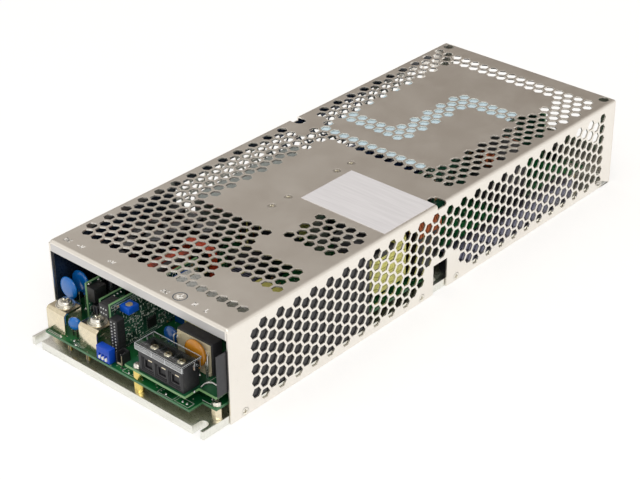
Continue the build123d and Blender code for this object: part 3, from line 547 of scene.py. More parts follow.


# Cover: folded sheet with its real vents, in five panels joined by rounded bends
VENT_CORNER = 6.1 / math.sqrt(3)
VENT_STEP = 7.67
VENT_COLUMN = 6.63
FIRST_COLUMN = 20.3
COLUMNS = 50
ACCESS = 4.0
ACCESS_DEPTH = 10.0
RIGHT_ACCESS = 178.0
LEFT_ACCESS = 203.0
REAR_ACCESS = 184.6
SEAT = 2.62
LIP_LOW = 53.1
QUARTER = [math.pi / 2 * i / 8 for i in range(9)]
flat_x = EDGE - BEND
flat_front, flat_back = FRONT + BEND, BACK - BEND
level = TOP - BEND


def top_rows(column):
    """The rows of vents in a column of the top: each entry holds for columns up to its first number"""
    strip, right = (0, 3 if column % 2 else 2), (14, 17)
    for last, *spans in (
        (0, (0, 17)),
        (3, (0, 12)),
        (7, (0, 17)),
        (10, (0, 11)),
        (15, (0, 4), (12, 17)),
        (26, (0, 4)),
        (28, (1, 17)),
        (29, (1, 3), right),
        (30, strip, right),
        (32, (0, 9), right),
        (40, strip, (7, 9), right),
        (42, strip, (7, 17)),
        (47, strip, right),
        (COLUMNS, (0, 17)),
    ):
        if column <= last:
            return [row for low, high in spans for row in range(low, high)]


def top_vents():
    """The top's vents, clear of its bends and of the openings over the plate's fixing holes"""
    vents = []
    for column in range(COLUMNS):
        along = deep(FIRST_COLUMN + VENT_COLUMN * column)
        for row in top_rows(column):
            over = (6.55 if column % 2 else 10.4) + VENT_STEP * row - EDGE
            by_access = any(
                side * over > 52.0 and abs(along - deep(at)) < 12.0
                for side, at in ((1, RIGHT_ACCESS), (-1, LEFT_ACCESS))
            )
            by_rear_access = abs(over) > 55 and along > REAR_ACCESS - 8.5
            if abs(over) <= flat_x - 3.4 and not by_access and not by_rear_access:
                vents.append([(x, y) for y, x in circle(along, over, VENT_CORNER, 6)])
    return vents


def side_vents(access):
    """A side wall's vents, clear of the notch under its access opening"""
    vents = []
    for column in range(COLUMNS):
        distance = FIRST_COLUMN + VENT_COLUMN * column
        near = abs(distance - access)
        for row in range(7 if column % 2 else 6):
            z = TOP - (8.0 if column % 2 else 11.8) - 7.6 * row
            if not (near < 15.5 and z < 22 or near < 22 and z < 7 or near < 24 and z < 4.6):
                vents.append(circle(deep(distance), z, VENT_CORNER, 6))
    return vents


def access_bite(side, distance):
    """The rounded end of an access opening in the top, walked in rising Y"""
    at, inner = deep(distance), EDGE - ACCESS_DEPTH + ACCESS
    points = [(side * flat_x, at - ACCESS)]
    for i in range(13):
        a = -math.pi / 2 + math.pi * i / 12
        points.append((side * (inner - ACCESS * math.cos(a)), at + ACCESS * math.sin(a)))
    return points + [(side * flat_x, at + ACCESS)]


def side_wall(distance):
    """A side wall's outline: a notch below and a bite above, at its access opening"""
    y, notch, notch_top, bite_low = deep(distance), 6.5, 20.0, TOP - 3.0
    points = [(FRONT, 0), (y - notch, 0), (y - notch, notch_top), (y + notch, notch_top), (y + notch, 0)]
    points += [(flat_back, 0), (flat_back, level), (y + ACCESS, level), (y + ACCESS, bite_low)]
    return points + [(y - ACCESS, bite_low), (y - ACCESS, level), (FRONT, level)]


def rectangle(left, right, low, high):
    return [(left, low), (right, low), (right, high), (left, high)]


def upright_panel(name, low, y, openings, look):
    """A panel across the unit, from a height up to the top's bend"""
    basis = Matrix(((1, 0, 0, 0), (0, 0, 1, y), (0, 1, 0, 0), (0, 0, 0, 1)))
    panel(name, rectangle(-flat_x, flat_x, low, level), openings, basis, look)


top_holes = top_vents() + [circle(side * 64.0, REAR_ACCESS, 3.5) for side in (-1, 1)]
top_holes += [circle(TOP_SCREW_X, deep(d), SEAT) for d in TOP_SCREWS]
outline = [(-flat_x, flat_front), (flat_x, flat_front)] + access_bite(1, RIGHT_ACCESS)
outline += [(flat_x, flat_back), (-flat_x, flat_back)] + access_bite(-1, LEFT_ACCESS)[::-1]
panel("cover_top_sheet", outline, top_holes, Matrix.Translation((0, 0, TOP - SHEET / 2)))
for side, at, word in ((1, RIGHT_ACCESS, "right"), (-1, LEFT_ACCESS, "left")):
    holes = side_vents(at) + [circle(deep(d), 2.75, SEAT, 28) for d in SIDE_SCREWS]
    basis = Matrix(((0, 0, side, side * (EDGE - SHEET / 2)), (1, 0, 0, 0), (0, 1, 0, 0), (0, 0, 0, 1)))
    panel(f"cover_{word}_sheet", side_wall(at), holes, basis)
rear_opening = rectangle(-63.0, 60.0, 23.0, 53.1)
upright_panel("cover_rear_sheet", 0.0, BACK - SHEET / 2, [rear_opening], "sheet")
# The lip's look is the sheet's colour darkened as painted shade
upright_panel("cover_front_lip", LIP_LOW, FRONT + SHEET / 2, [], "lip")

bends = Shape()


def bend(start, end, first, second):
    """A quarter-round strip between two sheets, whose outward directions are first and second"""
    start, end, first, second = Vector(start), Vector(end), Vector(first), Vector(second)
    step = (end - start).normalized() * 0.3
    verts = []
    for centre in (start, start + step, end - step, end):
        for radius in (BEND, BEND - SHEET):
            verts += [centre + (first * math.cos(t) + second * math.sin(t)) * radius for t in QUARTER]
    n = len(QUARTER)
    lengthwise = [(n * row, 2 * n) for row in range(6)]
    ends = [(0, n), (6 * n, n)]
    faces = []
    for at, stride in lengthwise + ends:
        faces += [(at + i, at + i + 1, at + i + 1 + stride, at + i + stride) for i in range(n - 1)]
    bends.add(verts, faces)


def ball_corner(centre, first, second, third):
    """An eighth of a ball that closes three bends"""
    centre, first, second, third = Vector(centre), Vector(first), Vector(second), Vector(third)
    for radius in (BEND, BEND - SHEET):
        verts = []
        for t in QUARTER:
            rings = [(first * math.cos(s) + second * math.sin(s)) * math.cos(t) for s in QUARTER]
            verts += [centre + (third * math.sin(t) + ring) * radius for ring in rings]
        bends.add(verts, grid_faces(len(QUARTER), len(QUARTER)))


for side, distance in ((1, RIGHT_ACCESS), (-1, LEFT_ACCESS)):
    out, x, at = (side, 0, 0), side * flat_x, deep(distance)
    bend((x, flat_front, level), (x, at - ACCESS, level), out, UP)
    bend((x, at + ACCESS, level), (x, flat_back, level), out, UP)
    bend((x, flat_front, LIP_LOW), (x, flat_front, level), out, (0, -1, 0))
    bend((x, flat_back, 0), (x, flat_back, level), out, (0, 1, 0))
    ball_corner((x, flat_front, level), out, (0, -1, 0), UP)
    ball_corner((x, flat_back, level), out, (0, 1, 0), UP)
for y, way in ((flat_front, -1), (flat_back, 1)):
    bend((-flat_x, y, level), (flat_x, y, level), (0, way, 0), UP)
bends.make("cover_bends", ["sheet"], stands_for=("cover",), join=True)

# Stamped signs near the terminals: plus, minus, the two kinds of current, the two poles and earth
LETTERS = {
    "-": [[(0, 1.2), (1.2, 1.2)]],
    "+": [[(0, 1.2), (1.4, 1.2)], [(0.7, 0.5), (0.7, 1.9)]],
    "V": [[(0, 2.6), (0.9, 0), (1.8, 2.6)]],
    "N": [[(0, 0), (0, 2.6), (1.7, 0), (1.7, 2.6)]],
    "L": [[(0, 2.6), (0, 0), (1.5, 0)]],
    "A": [[(0, 0), (0.95, 2.6), (1.9, 0)], [(0.4, 0.9), (1.5, 0.9)]],
    "C": [[(1.7, 2.3), (1.0, 2.6), (0.2, 2.0), (0, 1.3), (0.2, 0.6), (1.0, 0), (1.7, 0.3)]],
    "D": [[(0, 0), (0, 2.6), (0.9, 2.6), (1.7, 1.9), (1.7, 0.7), (0.9, 0), (0, 0)]],
}
SIGNS = (
    ("DC", -63.8, 7.0), ("-V", -53.4, 7.0), ("+V", -27.8, 7.0),
    ("AC", 16.8, 5.6), ("N", 39.2, 7.0), ("L", 48.8, 6.6),
)
LETTER_MIDDLE = 1.3
LETTER_STEP = 2.5
earth_x, earth_y = 28.6, deep(7.2)


def stroke(marks, start, end, wide):
    """A thin straight stroke on the cover's top"""
    a, b = Vector(start), Vector(end)
    along = (b - a).normalized() * wide / 2
    across = Vector((-along.y, along.x))
    corners = [a - along - across, b + along - across, b + along + across, a - along + across]
    marks.prism(corners, TOP - 0.05, TOP + 0.02, 0.01)


marks = Shape()
for sign, x, distance in SIGNS:
    for letter in sign:
        for path in LETTERS[letter]:
            points = [(x + over, deep(distance + up - LETTER_MIDDLE)) for over, up in path]
            for start, end in zip(points, points[1:]):
                stroke(marks, start, end, 0.72)
        x += LETTER_STEP
stroke(marks, (earth_x, earth_y + 2.6), (earth_x, earth_y), 0.7)
for half, drop in ((2.2, 0.0), (1.4, 0.9), (0.6, 1.8)):
    stroke(marks, (earth_x - half, earth_y - drop), (earth_x + half, earth_y - drop), 0.7)
marks.make("cover_signs", ["mark"])
marks = Shape()
ring = circle(earth_x, earth_y, 3.9, 28)
for start, end in zip(ring, ring[1:] + ring[:1]):
    stroke(marks, start, end, 0.6)
marks.make("cover_earth_ring", ["blue_ring"])

# Countersunk screws of the cover
side_seats = [(s * EDGE, d, SIDE_SCREW_Z, (s, 0, 0)) for s in (-1, 1) for d in SIDE_SCREWS]
for name, seats in (
    ("cover_top_screws", [(TOP_SCREW_X, d, TOP, UP) for d in TOP_SCREWS]),
    ("cover_side_screws", side_seats),
):
    heads = Shape()
    for *seat, axis in seats:
        heads.put(seat, axis)
        heads.head(2.55, 1.15, -1.15, 0.62, 0.15, 0.8, flush=True)
    heads.stand_in(name, ["zinc"])

# Plain metal and plastic pieces whose edges only need softening
for node, cut, material in (
    ("base_plate", 0.35, "plate"),
    ("cover_posts", 0.4, "post_metal"),
    ("nickel_standoffs", 0.2, "nickel"),
    ("brass_standoffs", 0.2, "brass"),
    ("ac_terminal_block", 0.2, "block_black"),
    ("trimmer_body", 0.2, "trimmer_blue"),
    ("mode_switch_body", 0.16, "switch_blue"),
    ("aux_header", 0.2, "block_black"),
    ("negative_busbar", 0.22, "nickel"),
    ("positive_busbar", 0.22, "nickel"),
    ("choke_cores", 0.5, "ferrite"),
    ("choke_bobbins", 0.3, "cream"),
    ("film_capacitors", 0.7, "film_cap"),
    ("aux_transformer_core", 0.4, "ferrite"),
    ("aux_transformer_winding", 0.7, "tape_red"),
    ("transformer_cores", 0.7, "ferrite"),
    ("transformer_windings", 0.8, "tape_yellow"),
    ("inductor_cores", 0.7, "ferrite"),
    ("sense_chip", 0.25, "chip"),
    ("side_rails", 0.5, "post_metal"),
):
    soften(node, cut, material)
soften("trimmer_rotor", 0.15, "rotor", "trimmer_dial")
for i in (1, 2, 3):
    soften(f"mode_switch_lever_{i}", 0.15, "lever_white", f"lever_{i}")
for node, material in (
    ("blank_label", "label"),
    ("right_insulating_film", "grey_film"),
    ("left_insulating_film", "dark_film"),
    ("main_board", "board_lower"),
    ("ac_board", "board_flat"),
    ("control_board", "board_upright"),
    ("sense_board", "board_upright"),
    ("link_board", "board_upright"),
    ("driver_board", "board_upright"),
):
    dress(node, material)

# Screws on the boards
heads = Shape()
standoffs = [(side * 65.5, d, BOARD_TOP) for side in (-1, 1) for d in (-4.8, 90.0)]
standoffs += [(side * 54.0, 338.0, BOARD_TOP) for side in (-1, 1)]
standoffs += [(16.4, -15.2, AC_TOP), (17.2, 72.0, AC_TOP), (60.0, 72.0, AC_TOP)]
for seat in standoffs:
    heads.put(seat)
    heads.lathe([(0, 0), (2.7, 0), (2.7, 0.35), (0, 0.35)])
    heads.head(2.45, 1.85, 0.35)
heads.stand_in("board_screws", ["zinc"])

# Signal header, its pins, the socket at its foot and the pins of the second header
PIN_PITCH = 2.0
header = Shape()
header.deep_block((-10.5, -4.5), (-10.5, -4.6), (14.8, 38.2), 0.25)
for k in range(12):
    z = 15.5 + PIN_PITCH * k
    header.deep_block((-10.3, -4.7), (-10.62, -10.4), (z - 0.12 - 0.8, z + 0.12 - 0.8), 0.04)
    header.deep_block((-4.6, -4.35), (-10.2, -5.0), (z - 0.3, z + 0.3), 0.08)
header.stand_in("signal_header", ["block_black"])
pins = Shape()
for x in (-8.8, -6.2):
    for k in range(11):
        pins.put((x, -10.45, 16.4 + PIN_PITCH * k), TO_FRONT)
        pins.lathe([(0.52, 0), (0.5, 0.18), (0.34, 0.3), (0.3, 0.44), (0.0, 0.5)], 10)
pins.stand_in("signal_header_pins", ["silver_film"], "nickel")
make_blocks("foot_socket_shown", ["block_black", "cream", "tin"], (
    ((-3.4, 1.8), (-14.2, -7.6), (13.6, 14.6), 0.2),
    ((-3.4, -2.6), (-14.2, -7.6), (14.2, 21.0), 0.2),
    ((1.0, 1.8), (-14.2, -7.6), (14.2, 21.0), 0.2),
    ((-3.4, 1.8), (-8.4, -7.6), (14.2, 21.0), 0.2),
    ((-3.4, -2.0), (-14.2, -13.4), (14.2, 21.0)),
    ((1.05, 1.8), (-14.2, -13.5), (13.8, 20.4), 0.15, 1),
    ((-2.2, 1.4), (-14.25, -13.5), (13.9, 14.9), 0.15, 1),
    ((-1.2, -0.6), (-12.4, -11.8), (14.4, 19.4), 0.1, 2),
    ((-1.2, -0.6), (-9.8, -9.2), (14.4, 19.4), 0.1, 2),
), ("foot_socket",))
ribs = Shape()
for k in range(5):
    rib = -8.6 + 2.1 * k
    ribs.deep_block((-19.1, -12.2), (rib, rib + 0.7), (43.9, 44.25), 0.08)
for x in (-17.6, -15.6, -13.6):
    for z in (38.6, 41.6):
        ribs.put((x, -9.45, z), TO_FRONT)
        ribs.lathe([(0.55, 0), (0.5, 0.2), (0.3, 0.4), (0.0, 0.5)], 10, 1)
ribs.make("aux_header_pins", ["block_black", "silver_film"])

# Clear hinged cover of the terminals: lid, front wall, two ears on pins, and thin white strips along its
# edges that are painted highlights
LEFT, RIGHT, LID = 18.3, 54.7, 39.0
NEAR, FAR = -18.4, -3.9
RIM = 0.16
shield = Shape()
shield.deep_block((LEFT, RIGHT), (NEAR, FAR), (LID - 1.0, LID), 0.12)
shield.deep_block((LEFT + 0.02, RIGHT - 0.02), (NEAR + 0.02, NEAR + 1.0), (35.12, LID - 1.0), 0.12, 2)
for x, way in ((LEFT, 1), (RIGHT, -1)):
    shield.deep_block(sorted((x, x + way)), (-9.3, -4.9), (32.65, LID - 1.0), 0.12)
    shield.put((x, -7.1, 34.8), (way, 0, 0))
    shield.lathe([(0, 0.2), (0.8, 0.2), (0.8, 2.1), (0.7, 2.2), (0, 2.2)], 20)
    shield.put()
# White strips round the lid's rims, along the front wall's foot and divisions and on the ears' edges: painted
# highlights
for z in (38.92, 38.06):
    for x, depth in (
        ((LEFT, RIGHT), (NEAR, NEAR + RIM)),
        ((LEFT, RIGHT), (FAR - RIM, FAR)),
        ((LEFT, LEFT + RIM), (NEAR, FAR)),
        ((RIGHT - RIM, RIGHT), (NEAR, FAR)),
    ):
        shield.deep_block(x, depth, (z - RIM / 2, z + RIM / 2), 0.03, 1)
shield.deep_block((LEFT, RIGHT), (NEAR, NEAR + 0.3), (35.1, 35.4), 0.06, 1)
shield.deep_block((LEFT, RIGHT), (NEAR + 0.75, NEAR + 1.0), (35.1, 35.3), 0.05, 1)
for x in (LEFT, 31.2, 41.6, RIGHT - 0.3):
    shield.deep_block((x, x + 0.3), (NEAR, NEAR + 0.2), (35.2, 38.9), 0.05, 1)
shield.deep_block((LEFT + 0.4, RIGHT - 0.4), (NEAR + 1.6, NEAR + 1.9), (LID - 0.05, LID), 0.02, 1)
for x in (LEFT, RIGHT - 0.22):
    for near in (-9.3, -5.1):
        shield.deep_block((x, x + 0.22), (near, near + 0.2), (32.65, LID - 1.0), 0.05, 1)
shield.stand_in("ac_terminal_cover", ["clear", "painted_edge_highlight", "frost"], body="terminal_cover")

# Terminals: a frame round each entry, clamps, screws, and the washers and screws of the busbars
cages, clamps, heads = Shape(), Shape(), Shape()
for x in POLES:
    for left, right, low, high in (
        (-3.5, 3.5, 23.7, 24.3), (-3.5, 3.5, 29.5, 30.1), (-3.5, -2.9, 23.7, 30.1), (2.9, 3.5, 23.7, 30.1),
    ):
        cages.deep_block((x + left, x + right), (-16.2, -15.4), (low, high), 0.12)
    cages.deep_block((x - 3.0, x + 3.0), (-15.0, -14.4), (24.2, 29.6), 0.2, 1)
    clamps.put((x, -11.1, 32.4))
    clamps.block((-3.8, 3.8), (-3.4, 3.4), (0, 1.2), 0.2)
    clamps.block((0.2, 3.2), (-5.4, -4.9), (-2.6, -1.7))
    heads.put((x, -11.1, 33.6))
    heads.head(2.8, 2.3, 0.0, 0.62, 0.14)
cages.make("ac_terminal_cages", ["socket_grey", "block_black"])
clamps.stand_in("ac_terminal_clamps", ["nickel"])
heads.stand_in("ac_terminal_screws", ["nickel"])
washers, heads = Shape(), Shape()
for x in OUTPUTS:
    for shape in (washers, heads):
        shape.put((x, -7.4, 28.5))
    washers.lathe([(2.2, 0), (5.7, 0), (5.8, 0.12), (5.8, 0.38), (5.7, 0.5), (2.2, 0.5), (2.2, 0)], 40)
    washers.lathe([(2.2, 0.5), (4.7, 0.5), (4.8, 0.6), (4.8, 0.8), (4.7, 0.9), (2.2, 0.9), (2.2, 0.5)], 40)
    heads.head(4.1, 2.0, 0.9, 0.6)
washers.stand_in("busbar_washers", ["zinc"])
heads.stand_in("busbar_screws", ["zinc"])

heat_pad = [((-49.0, 34.0), (204.5, 303.6), (57.8, 58.8), 0.3)]
make_blocks("cover_heat_pad_shown", ["heat_pad"], heat_pad, ("cover_heat_pad",))


# Dipped disc parts: a lens-shaped body on two bent leads
def dipped(node, places, radius, thick, material, foot):
    body = Shape()
    for x, distance, z in places:
        body.put((x, distance, z), TO_FRONT)
        profile = []
        for i in range(13):
            t = -math.pi / 2 + math.pi * i / 12
            profile.append((radius * math.cos(t) ** 0.62 if abs(i - 6) < 6 else 0.0, thick / 2 * math.sin(t)))
        body.lathe(profile, 36)
        for a in (-2.5, 2.5):
            body.put()
            neck = [(a * 0.9, radius * 0.8), (a, radius * 1.02), (a, radius * 1.1)]
            body.tube(route(*[(x + over, distance, z - drop) for over, drop in neck]), 0.62)
            lead = route(*[(x + a, distance, height) for height in (z - radius, z - radius - 1.2, foot)])
            body.tube(lead, 0.34, 8, 1)
            body.put((x + a, distance, foot))
            body.lathe([(0.95, 0), (0.8, 0.25), (0.42, 0.7), (0.36, 1.0)], 12, 1)
    body.stand_in(node, [material, "tin"])


dipped("varistor", [(44.6, 1.2, 34.2)], 8.0, 4.4, "varistor", AC_TOP)
dipped("line_disc_capacitor", [(21.0, 6.0, 32.7)], 5.5, 3.6, "line_blue", AC_TOP)
disc_places = [(-60.1, distance, 31.0) for distance in (3.0, 12.0)]
dipped("dc_disc_capacitors", disc_places, 7.0, 3.6, "disc_blue", BOARD_TOP)


# Round capacitors: sleeve with a waist, bare top with a pressed cross
def can(shape, radius, tall, seg=36):
    """An upright can whose sleeve is material 0 and whose bare end is material 1"""
    sleeve = [(0, 0), (0.93, 0), (0.97, 0.25), (0.97, tall * 0.05), (0.9, tall * 0.07), (0.9, tall * 0.09)]
    sleeve += [(0.99, tall * 0.115), (1, tall * 0.15), (1, tall - 0.7)]
    sleeve += [(0.97, tall - 0.2), (0.9, tall - 0.05), (0.84, tall - 0.1)]
    end = [(0.86, tall - 0.35), (0.84, tall - 0.12), (0.8, tall - 0.06), (0, tall - 0.06)]
    for mat, profile in enumerate((sleeve, end)):
        shape.lathe([(radius * share, height) for share, height in profile], seg, mat)
    base, long, wide = shape.frame.copy(), radius * 0.7, radius * 0.035
    for turn in (0.4, 0.4 + math.pi / 2):
        shape.frame = base @ Matrix.Rotation(turn, 4, "Z")
        shape.block((-long, long), (-wide, wide), (tall - 0.1, tall - 0.02), 0.02, 1)


def can_group(places, radius, tall, axis=UP, seg=36, shape=None):
    """Several like cans in one shape"""
    shape = shape or Shape()
    for place in places:
        shape.put(place, axis)
        can(shape, radius, tall, seg)
    return shape


CAN_LOOKS = ["can_black", "can_top"]
output_places = [(x, distance, BOARD_TOP) for x, distance in ((-59.5, 27.0), (-44.5, 27.0), (-52.0, 42.0))]
can_group(output_places, 6.5, 34.0).stand_in("output_capacitors", CAN_LOOKS)
can_group([(-36.4, 4.8, BOARD_TOP)], 4.0, 16.4).stand_in("small_capacitor", CAN_LOOKS)
storage = Shape()
for x in (-33.0, -1.0):
    for distance, way in ((204.0, 1), (300.0, -1)):
        can_group([(x, distance, 28.8)], 15.0, 46.0, (0, way, 0), 48, storage)
storage.stand_in("storage_capacitors", ["sleeve_blue", "can_top"])


# Wound wire
def wound(shape, centre, half, axis, ends, turns, radius, corner):
    """Turns about an axis: half is the coil's half size across, and ends are where it starts and stops"""
    points, steps = [], 5
    order = {"X": (2, 0, 1), "Z": (0, 1, 2)}[axis]
    for turn in range(turns):
        for k, (way_a, way_b) in enumerate(((1, -1), (1, 1), (-1, 1), (-1, -1))):
            a, b = way_a * (half[0] - corner), way_b * (half[1] - corner)
            for i in range(steps):
                angle = math.pi / 2 * (k - 1 + i / (steps - 1))
                along = ends[0] + (ends[1] - ends[0]) * (turn + (k + i / steps) / 4) / turns
                p = (a + corner * math.cos(angle), b + corner * math.sin(angle), along)
                points.append([centre[m] + p[order[m]] for m in range(3)])
    shape.tube(points, radius, 6)


coils = Shape()
for middle, wide, near, long in ((45.5, 23.0, 163.0, 18.0), (43.0, 26.0, 258.0, 30.0)):
    half = wide / 2 - 5.2
    centre = (middle, deep(near + long / 2), 45.9)
    wound(coils, centre, (long / 2 - 1.25, 3.8), "X", (1.2 - half, half - 1.2), int(2 * half / 2.5), 1.2, 1.2)
coils.stand_in("inductor_windings", ["copper"])
coils = Shape()
for distance in (8.4, 37.8):
    wound(coils, (40.8, deep(distance), 31.2), (7.2, 3.2), "Z", (-1.6, 1.6), 4, 0.55, 1.0)
coils.stand_in("choke_windings", ["copper"])

# Small parts, pads and printed lines that boards carry
CHIP, TAN, TIN, SILK = range(4)
RIGHTWARD = ((0, 1, 0), UP, (1, 0, 0))
LEFTWARD = ((0, -1, 0), UP, (-1, 0, 0))
UPWARD = ((1, 0, 0), (0, 1, 0), UP)
SUNK = -0.02


class Board:
    """A board's face: a and b run along it from the cover's front edge, and heights stand off it"""

    def __init__(self, x, z, facing):
        self.basis = Matrix([Vector(v) for v in facing]).transposed().to_4x4()
        self.basis.translation = Vector((x, FRONT, z))
        self.shape = Shape()
        self.shape.frame = self.basis
        self.taken = []

    def free(self, left, right, low, high, gap=0.25):
        return all(
            right + gap <= t[0] or left - gap >= t[1] or high + gap <= t[2] or low - gap >= t[3]
            for t in self.taken
        )

    def line(self, a, b, c, d, wide=0.2):
        """A printed straight line"""
        w = wide / 2
        spans = (min(a, c) - w, max(a, c) + w), (min(b, d) - w, max(b, d) + w), (SUNK, 0.035)
        self.shape.block(*spans, 0.01, SILK)

    def outline(self, a, b, c, d, wide=0.2):
        for one in ((a, b, c, b), (a, d, c, d), (a, b, a, d), (c, b, c, d)):
            self.line(*one, wide)

    def pads(self, radius, places):
        """Round tinned joints with clipped leads"""
        r = radius
        joint = [(r, SUNK), (r * 0.95, 0.06), (r * 0.45, 0.35), (r * 0.3, 0.8), (0, 0.85)]
        for a, b in places:
            self.shape.frame = self.basis @ Matrix.Translation((a, b, 0))
            self.shape.lathe(joint, 10, TIN)
        self.shape.frame = self.basis

    def chip(self, a, b, w, l, tall, legs=0, upright=False, mat=CHIP):
        """A small part: with two tinned ends, or with rows of legs"""
        block, end = self.shape.block, 0.22
        u, v = (l, w) if upright else (w, l)
        if not legs:
            block((a + u * 0.06, a + u * 0.94), (b + v * 0.06, b + v * 0.94), (0, tall), 0.05, mat)
            for low, high in ((0, end), (1 - end, 1)):
                x = (a, a + u) if upright else (a + u * low, a + u * high)
                y = (b + v * low, b + v * high) if upright else (b, b + v)
                block(x, y, (0, tall * 0.96), 0.06, TIN)
            return
        inset = 0.14 if upright else 0.02
        block((a + u * 0.14, a + u * 0.86), (b + v * inset, b + v * (1 - inset)), (0.1, tall), 0.12, mat)
        for i in range(legs):
            at = (i + 0.5) / legs
            x = (a + u * at - 0.2, a + u * at + 0.2) if upright else (a, a + u)
            y = (b, b + v) if upright else (b + v * at - 0.2, b + v * at + 0.2)
            block(x, y, (0, tall * 0.4), 0.05, TIN)

    def scatter(self, area, seed, count):
        """Fills an area with seeded small parts that don't overlap"""
        rng = random.Random(seed)
        kinds = [(2.0, 1.25, 0.6, 0, CHIP), (1.6, 0.8, 0.5, 0, CHIP), (1.6, 0.8, 0.8, 0, TAN)]
        kinds += [(3.2, 1.6, 0.9, 0, TAN), (3.0, 2.6, 1.1, 2, CHIP), (6.0, 5.0, 1.6, 4, CHIP)]
        kinds += [(2.0, 1.2, 0.6, 0, CHIP), (6.2, 8.6, 1.6, 7, CHIP)]
        weights = [10, 12, 9, 3, 4, 1, 8, 0.7]
        a0, a1, b0, b1 = area
        for _ in range(count):
            w, l, h, legs, mat = rng.choices(kinds, weights)[0]
            turned = rng.random() < 0.4
            u, v = (l, w) if turned else (w, l)
            a, b = rng.uniform(a0, a1 - u), rng.uniform(b0, b1 - v)
            if a1 - u <= a0 or b1 - v <= b0 or not self.free(a, a + u, b, b + v):
                continue
            self.taken.append((a, a + u, b, b + v))
            self.chip(a, b, w, l, h, legs, turned, mat)
            style, left, right, low = rng.random(), a - 0.3, a + u + 0.3, b - 0.25
            if style < 0.5:
                for level in (low, b + v + 0.25):
                    self.line(left, level, right, level, 0.15)
            if style < 0.25:
                self.line(left, low, left, b + v + 0.25, 0.15)

    def specks(self, area, seed, count):
        """Small bright joints and printed dashes between the parts"""
        rng = random.Random(seed)
        sizes = ((0.7, 0.7), (1.3, 0.5), (0.5, 1.3), (1.9, 0.34), (0.34, 1.9), (1.0, 1.0))
        a0, a1, b0, b1 = area
        for _ in range(count):
            a, b = rng.uniform(a0, a1), rng.uniform(b0, b1)
            w, l = rng.choice(sizes)
            if self.free(a, a + w, b, b + l, 0.1):
                self.taken.append((a, a + w, b, b + l))
                mat = rng.choice((TIN, SILK, SILK))
                self.shape.block((a, a + w), (b, b + l), (SUNK, 0.12), 0.03, mat)

    def done(self, name):
        self.shape.make(name, ["chip", "tan", "tin", "silk"], "board_green")


# Control board: its dense face towards the mains side, and its other face
face = Board(-10.5, 0, RIGHTWARD)
face.taken += [(-11, -1.0, 13.6, 38.4), (-2.4, 5.6, 38.0, 45.4), (14.6, 24.6, 16.6, 26.4)]
face.taken += [(11.6, 14.8, 36.4, 41.0), (5.6, 30, 41.2, 45.4), (6.6, 27.0, 39.4, 41.1), (0, 29, 14.2, 15.6)]
face.chip(15.6, 17.4, 8.2, 8.0, 1.5, 6, True)
for b in (27.2, 16.4):
    face.line(14.9, b, 24.4, b, 0.25)
for x, y in circle(0, 0, 1, 24):
    a, b = 13.2 + 0.9 * x, 38.6 + 1.5 * y
    face.shape.block((a - 0.14, a + 0.14), (b - 0.22, b + 0.22), (SUNK, 0.04), 0.01, SILK)
for row in range(3):
    face.line(-8.0, 44.4 - row * 1.5, 30.0, 44.4 - row * 1.5, 0.16)
for i in range(20):
    face.line(6.2 + i * 1.2, 41.4, 6.2 + i * 1.2, 44.4, 0.16)
face.pads(0.5, [(7.5 + i * 2.0, 40.2) for i in range(10)])
face.pads(0.38, [(0.5 + i * 1.27, 14.9) for i in range(22)])
face.specks((-2.0, 44.0, 15.6, 44.6), 12, 900)
face.scatter((-8.4, 57.4, 14.4, 44.6), 11, 900)
face.done("control_board_parts")
face = Board(-12.1, 0, LEFTWARD)
face.taken.append((-1.4, 9.8, 36.2, 44.4))
face.pads(0.5, [(-55.0 + i * 2.0, 41.0 - (i % 3) * 3.0) for i in range(30)])
face.scatter((-57.0, 8.4, 15.0, 35.0), 5, 160)
face.done("control_board_joints")

# Small upright boards and the driver board
face = Board(-41.2, 0, RIGHTWARD)
face.pads(0.75, ((2.4, 41.4), (9.6, 41.2), (10.9, 39.0), (10.9, 33.0)))
face.taken.append((0.4, 10.4, 31.0, 41.8))
face.scatter((1.2, 11.8, 15.0, 30.8), 8, 40)
face.done("sense_board_parts")
face = Board(-30.2, 0, RIGHTWARD)
face.pads(0.6, [(3.0 + i * 2.6, 34.4) for i in range(6)])
face.scatter((2.0, 18.4, 15.0, 32.6), 9, 60)
face.done("link_board_parts")
face = Board(24.0, 0, RIGHTWARD)
face.pads(0.7, [(197.0 + i * 3.0, 45.6) for i in range(40)])
face.scatter((195.5, 316.5, 16.0, 43.6), 21, 420)
face.done("driver_board_parts")
face = Board(22.4, 0, LEFTWARD)
face.scatter((-316.0, -196.0, 16.0, 46.0), 22, 160)
face.done("driver_board_back_parts")

# Main board: printed frames, tracks and joints where it shows
face = Board(0, BOARD_TOP, UPWARD)
for corners in (
    (46.4, -17.2, 56.2, -12.4), (33.0, -17.4, 44.8, -12.6),
    (4.8, -16.8, 13.4, -9.6), (-56.6, -17.4, -45.6, -16.4),
):
    face.outline(*corners, 0.22)
joints = [(50.2, -14.9), (53.4, -14.9), (38.6, -16.0), (9.0, -15.6), (60.5, -3.0), (57.0, 1.0)]
face.pads(0.8, joints + [(-46.0, -16.8), (-33.4, -16.8), (-37.2, -14.6)])
for i in range(9):
    a = -35.2 + i * 0.9
    face.line(a, -17.2 + (i % 3) * 0.5, a, -14.4, 0.16)
for ends in (
    (14.0, -10.6, 44.0, -10.6), (44.0, -10.6, 44.0, -6.0), (56.8, -7.0, 64.6, -7.0), (62.6, -7.0, 62.6, 2.0),
):
    face.line(*ends, 0.3)
face.taken += [(-59, -43.6, -15.6, 0.4), (-31.8, -16.4, -15.6, 0.4), (-15, -4.2, -18, -12.6)]
face.taken += [(-4, 2.2, -14.6, -7.4), (-12.6, -4.2, -11, 60), (13.4, 20, -17.6, -12), (62, 69, -8, -1.6)]
face.taken += [(-69, -62, -8, -1.6), (-43.2, -35.0, -15.0, -7.0), (-33.4, -29, 0, 20), (-44, -34, 0, 13)]
face.taken += [(-67, -37, 20, 50), (-34, -14, 26, 74), (14, 20.6, 68, 76), (56, 64, 68, 76)]
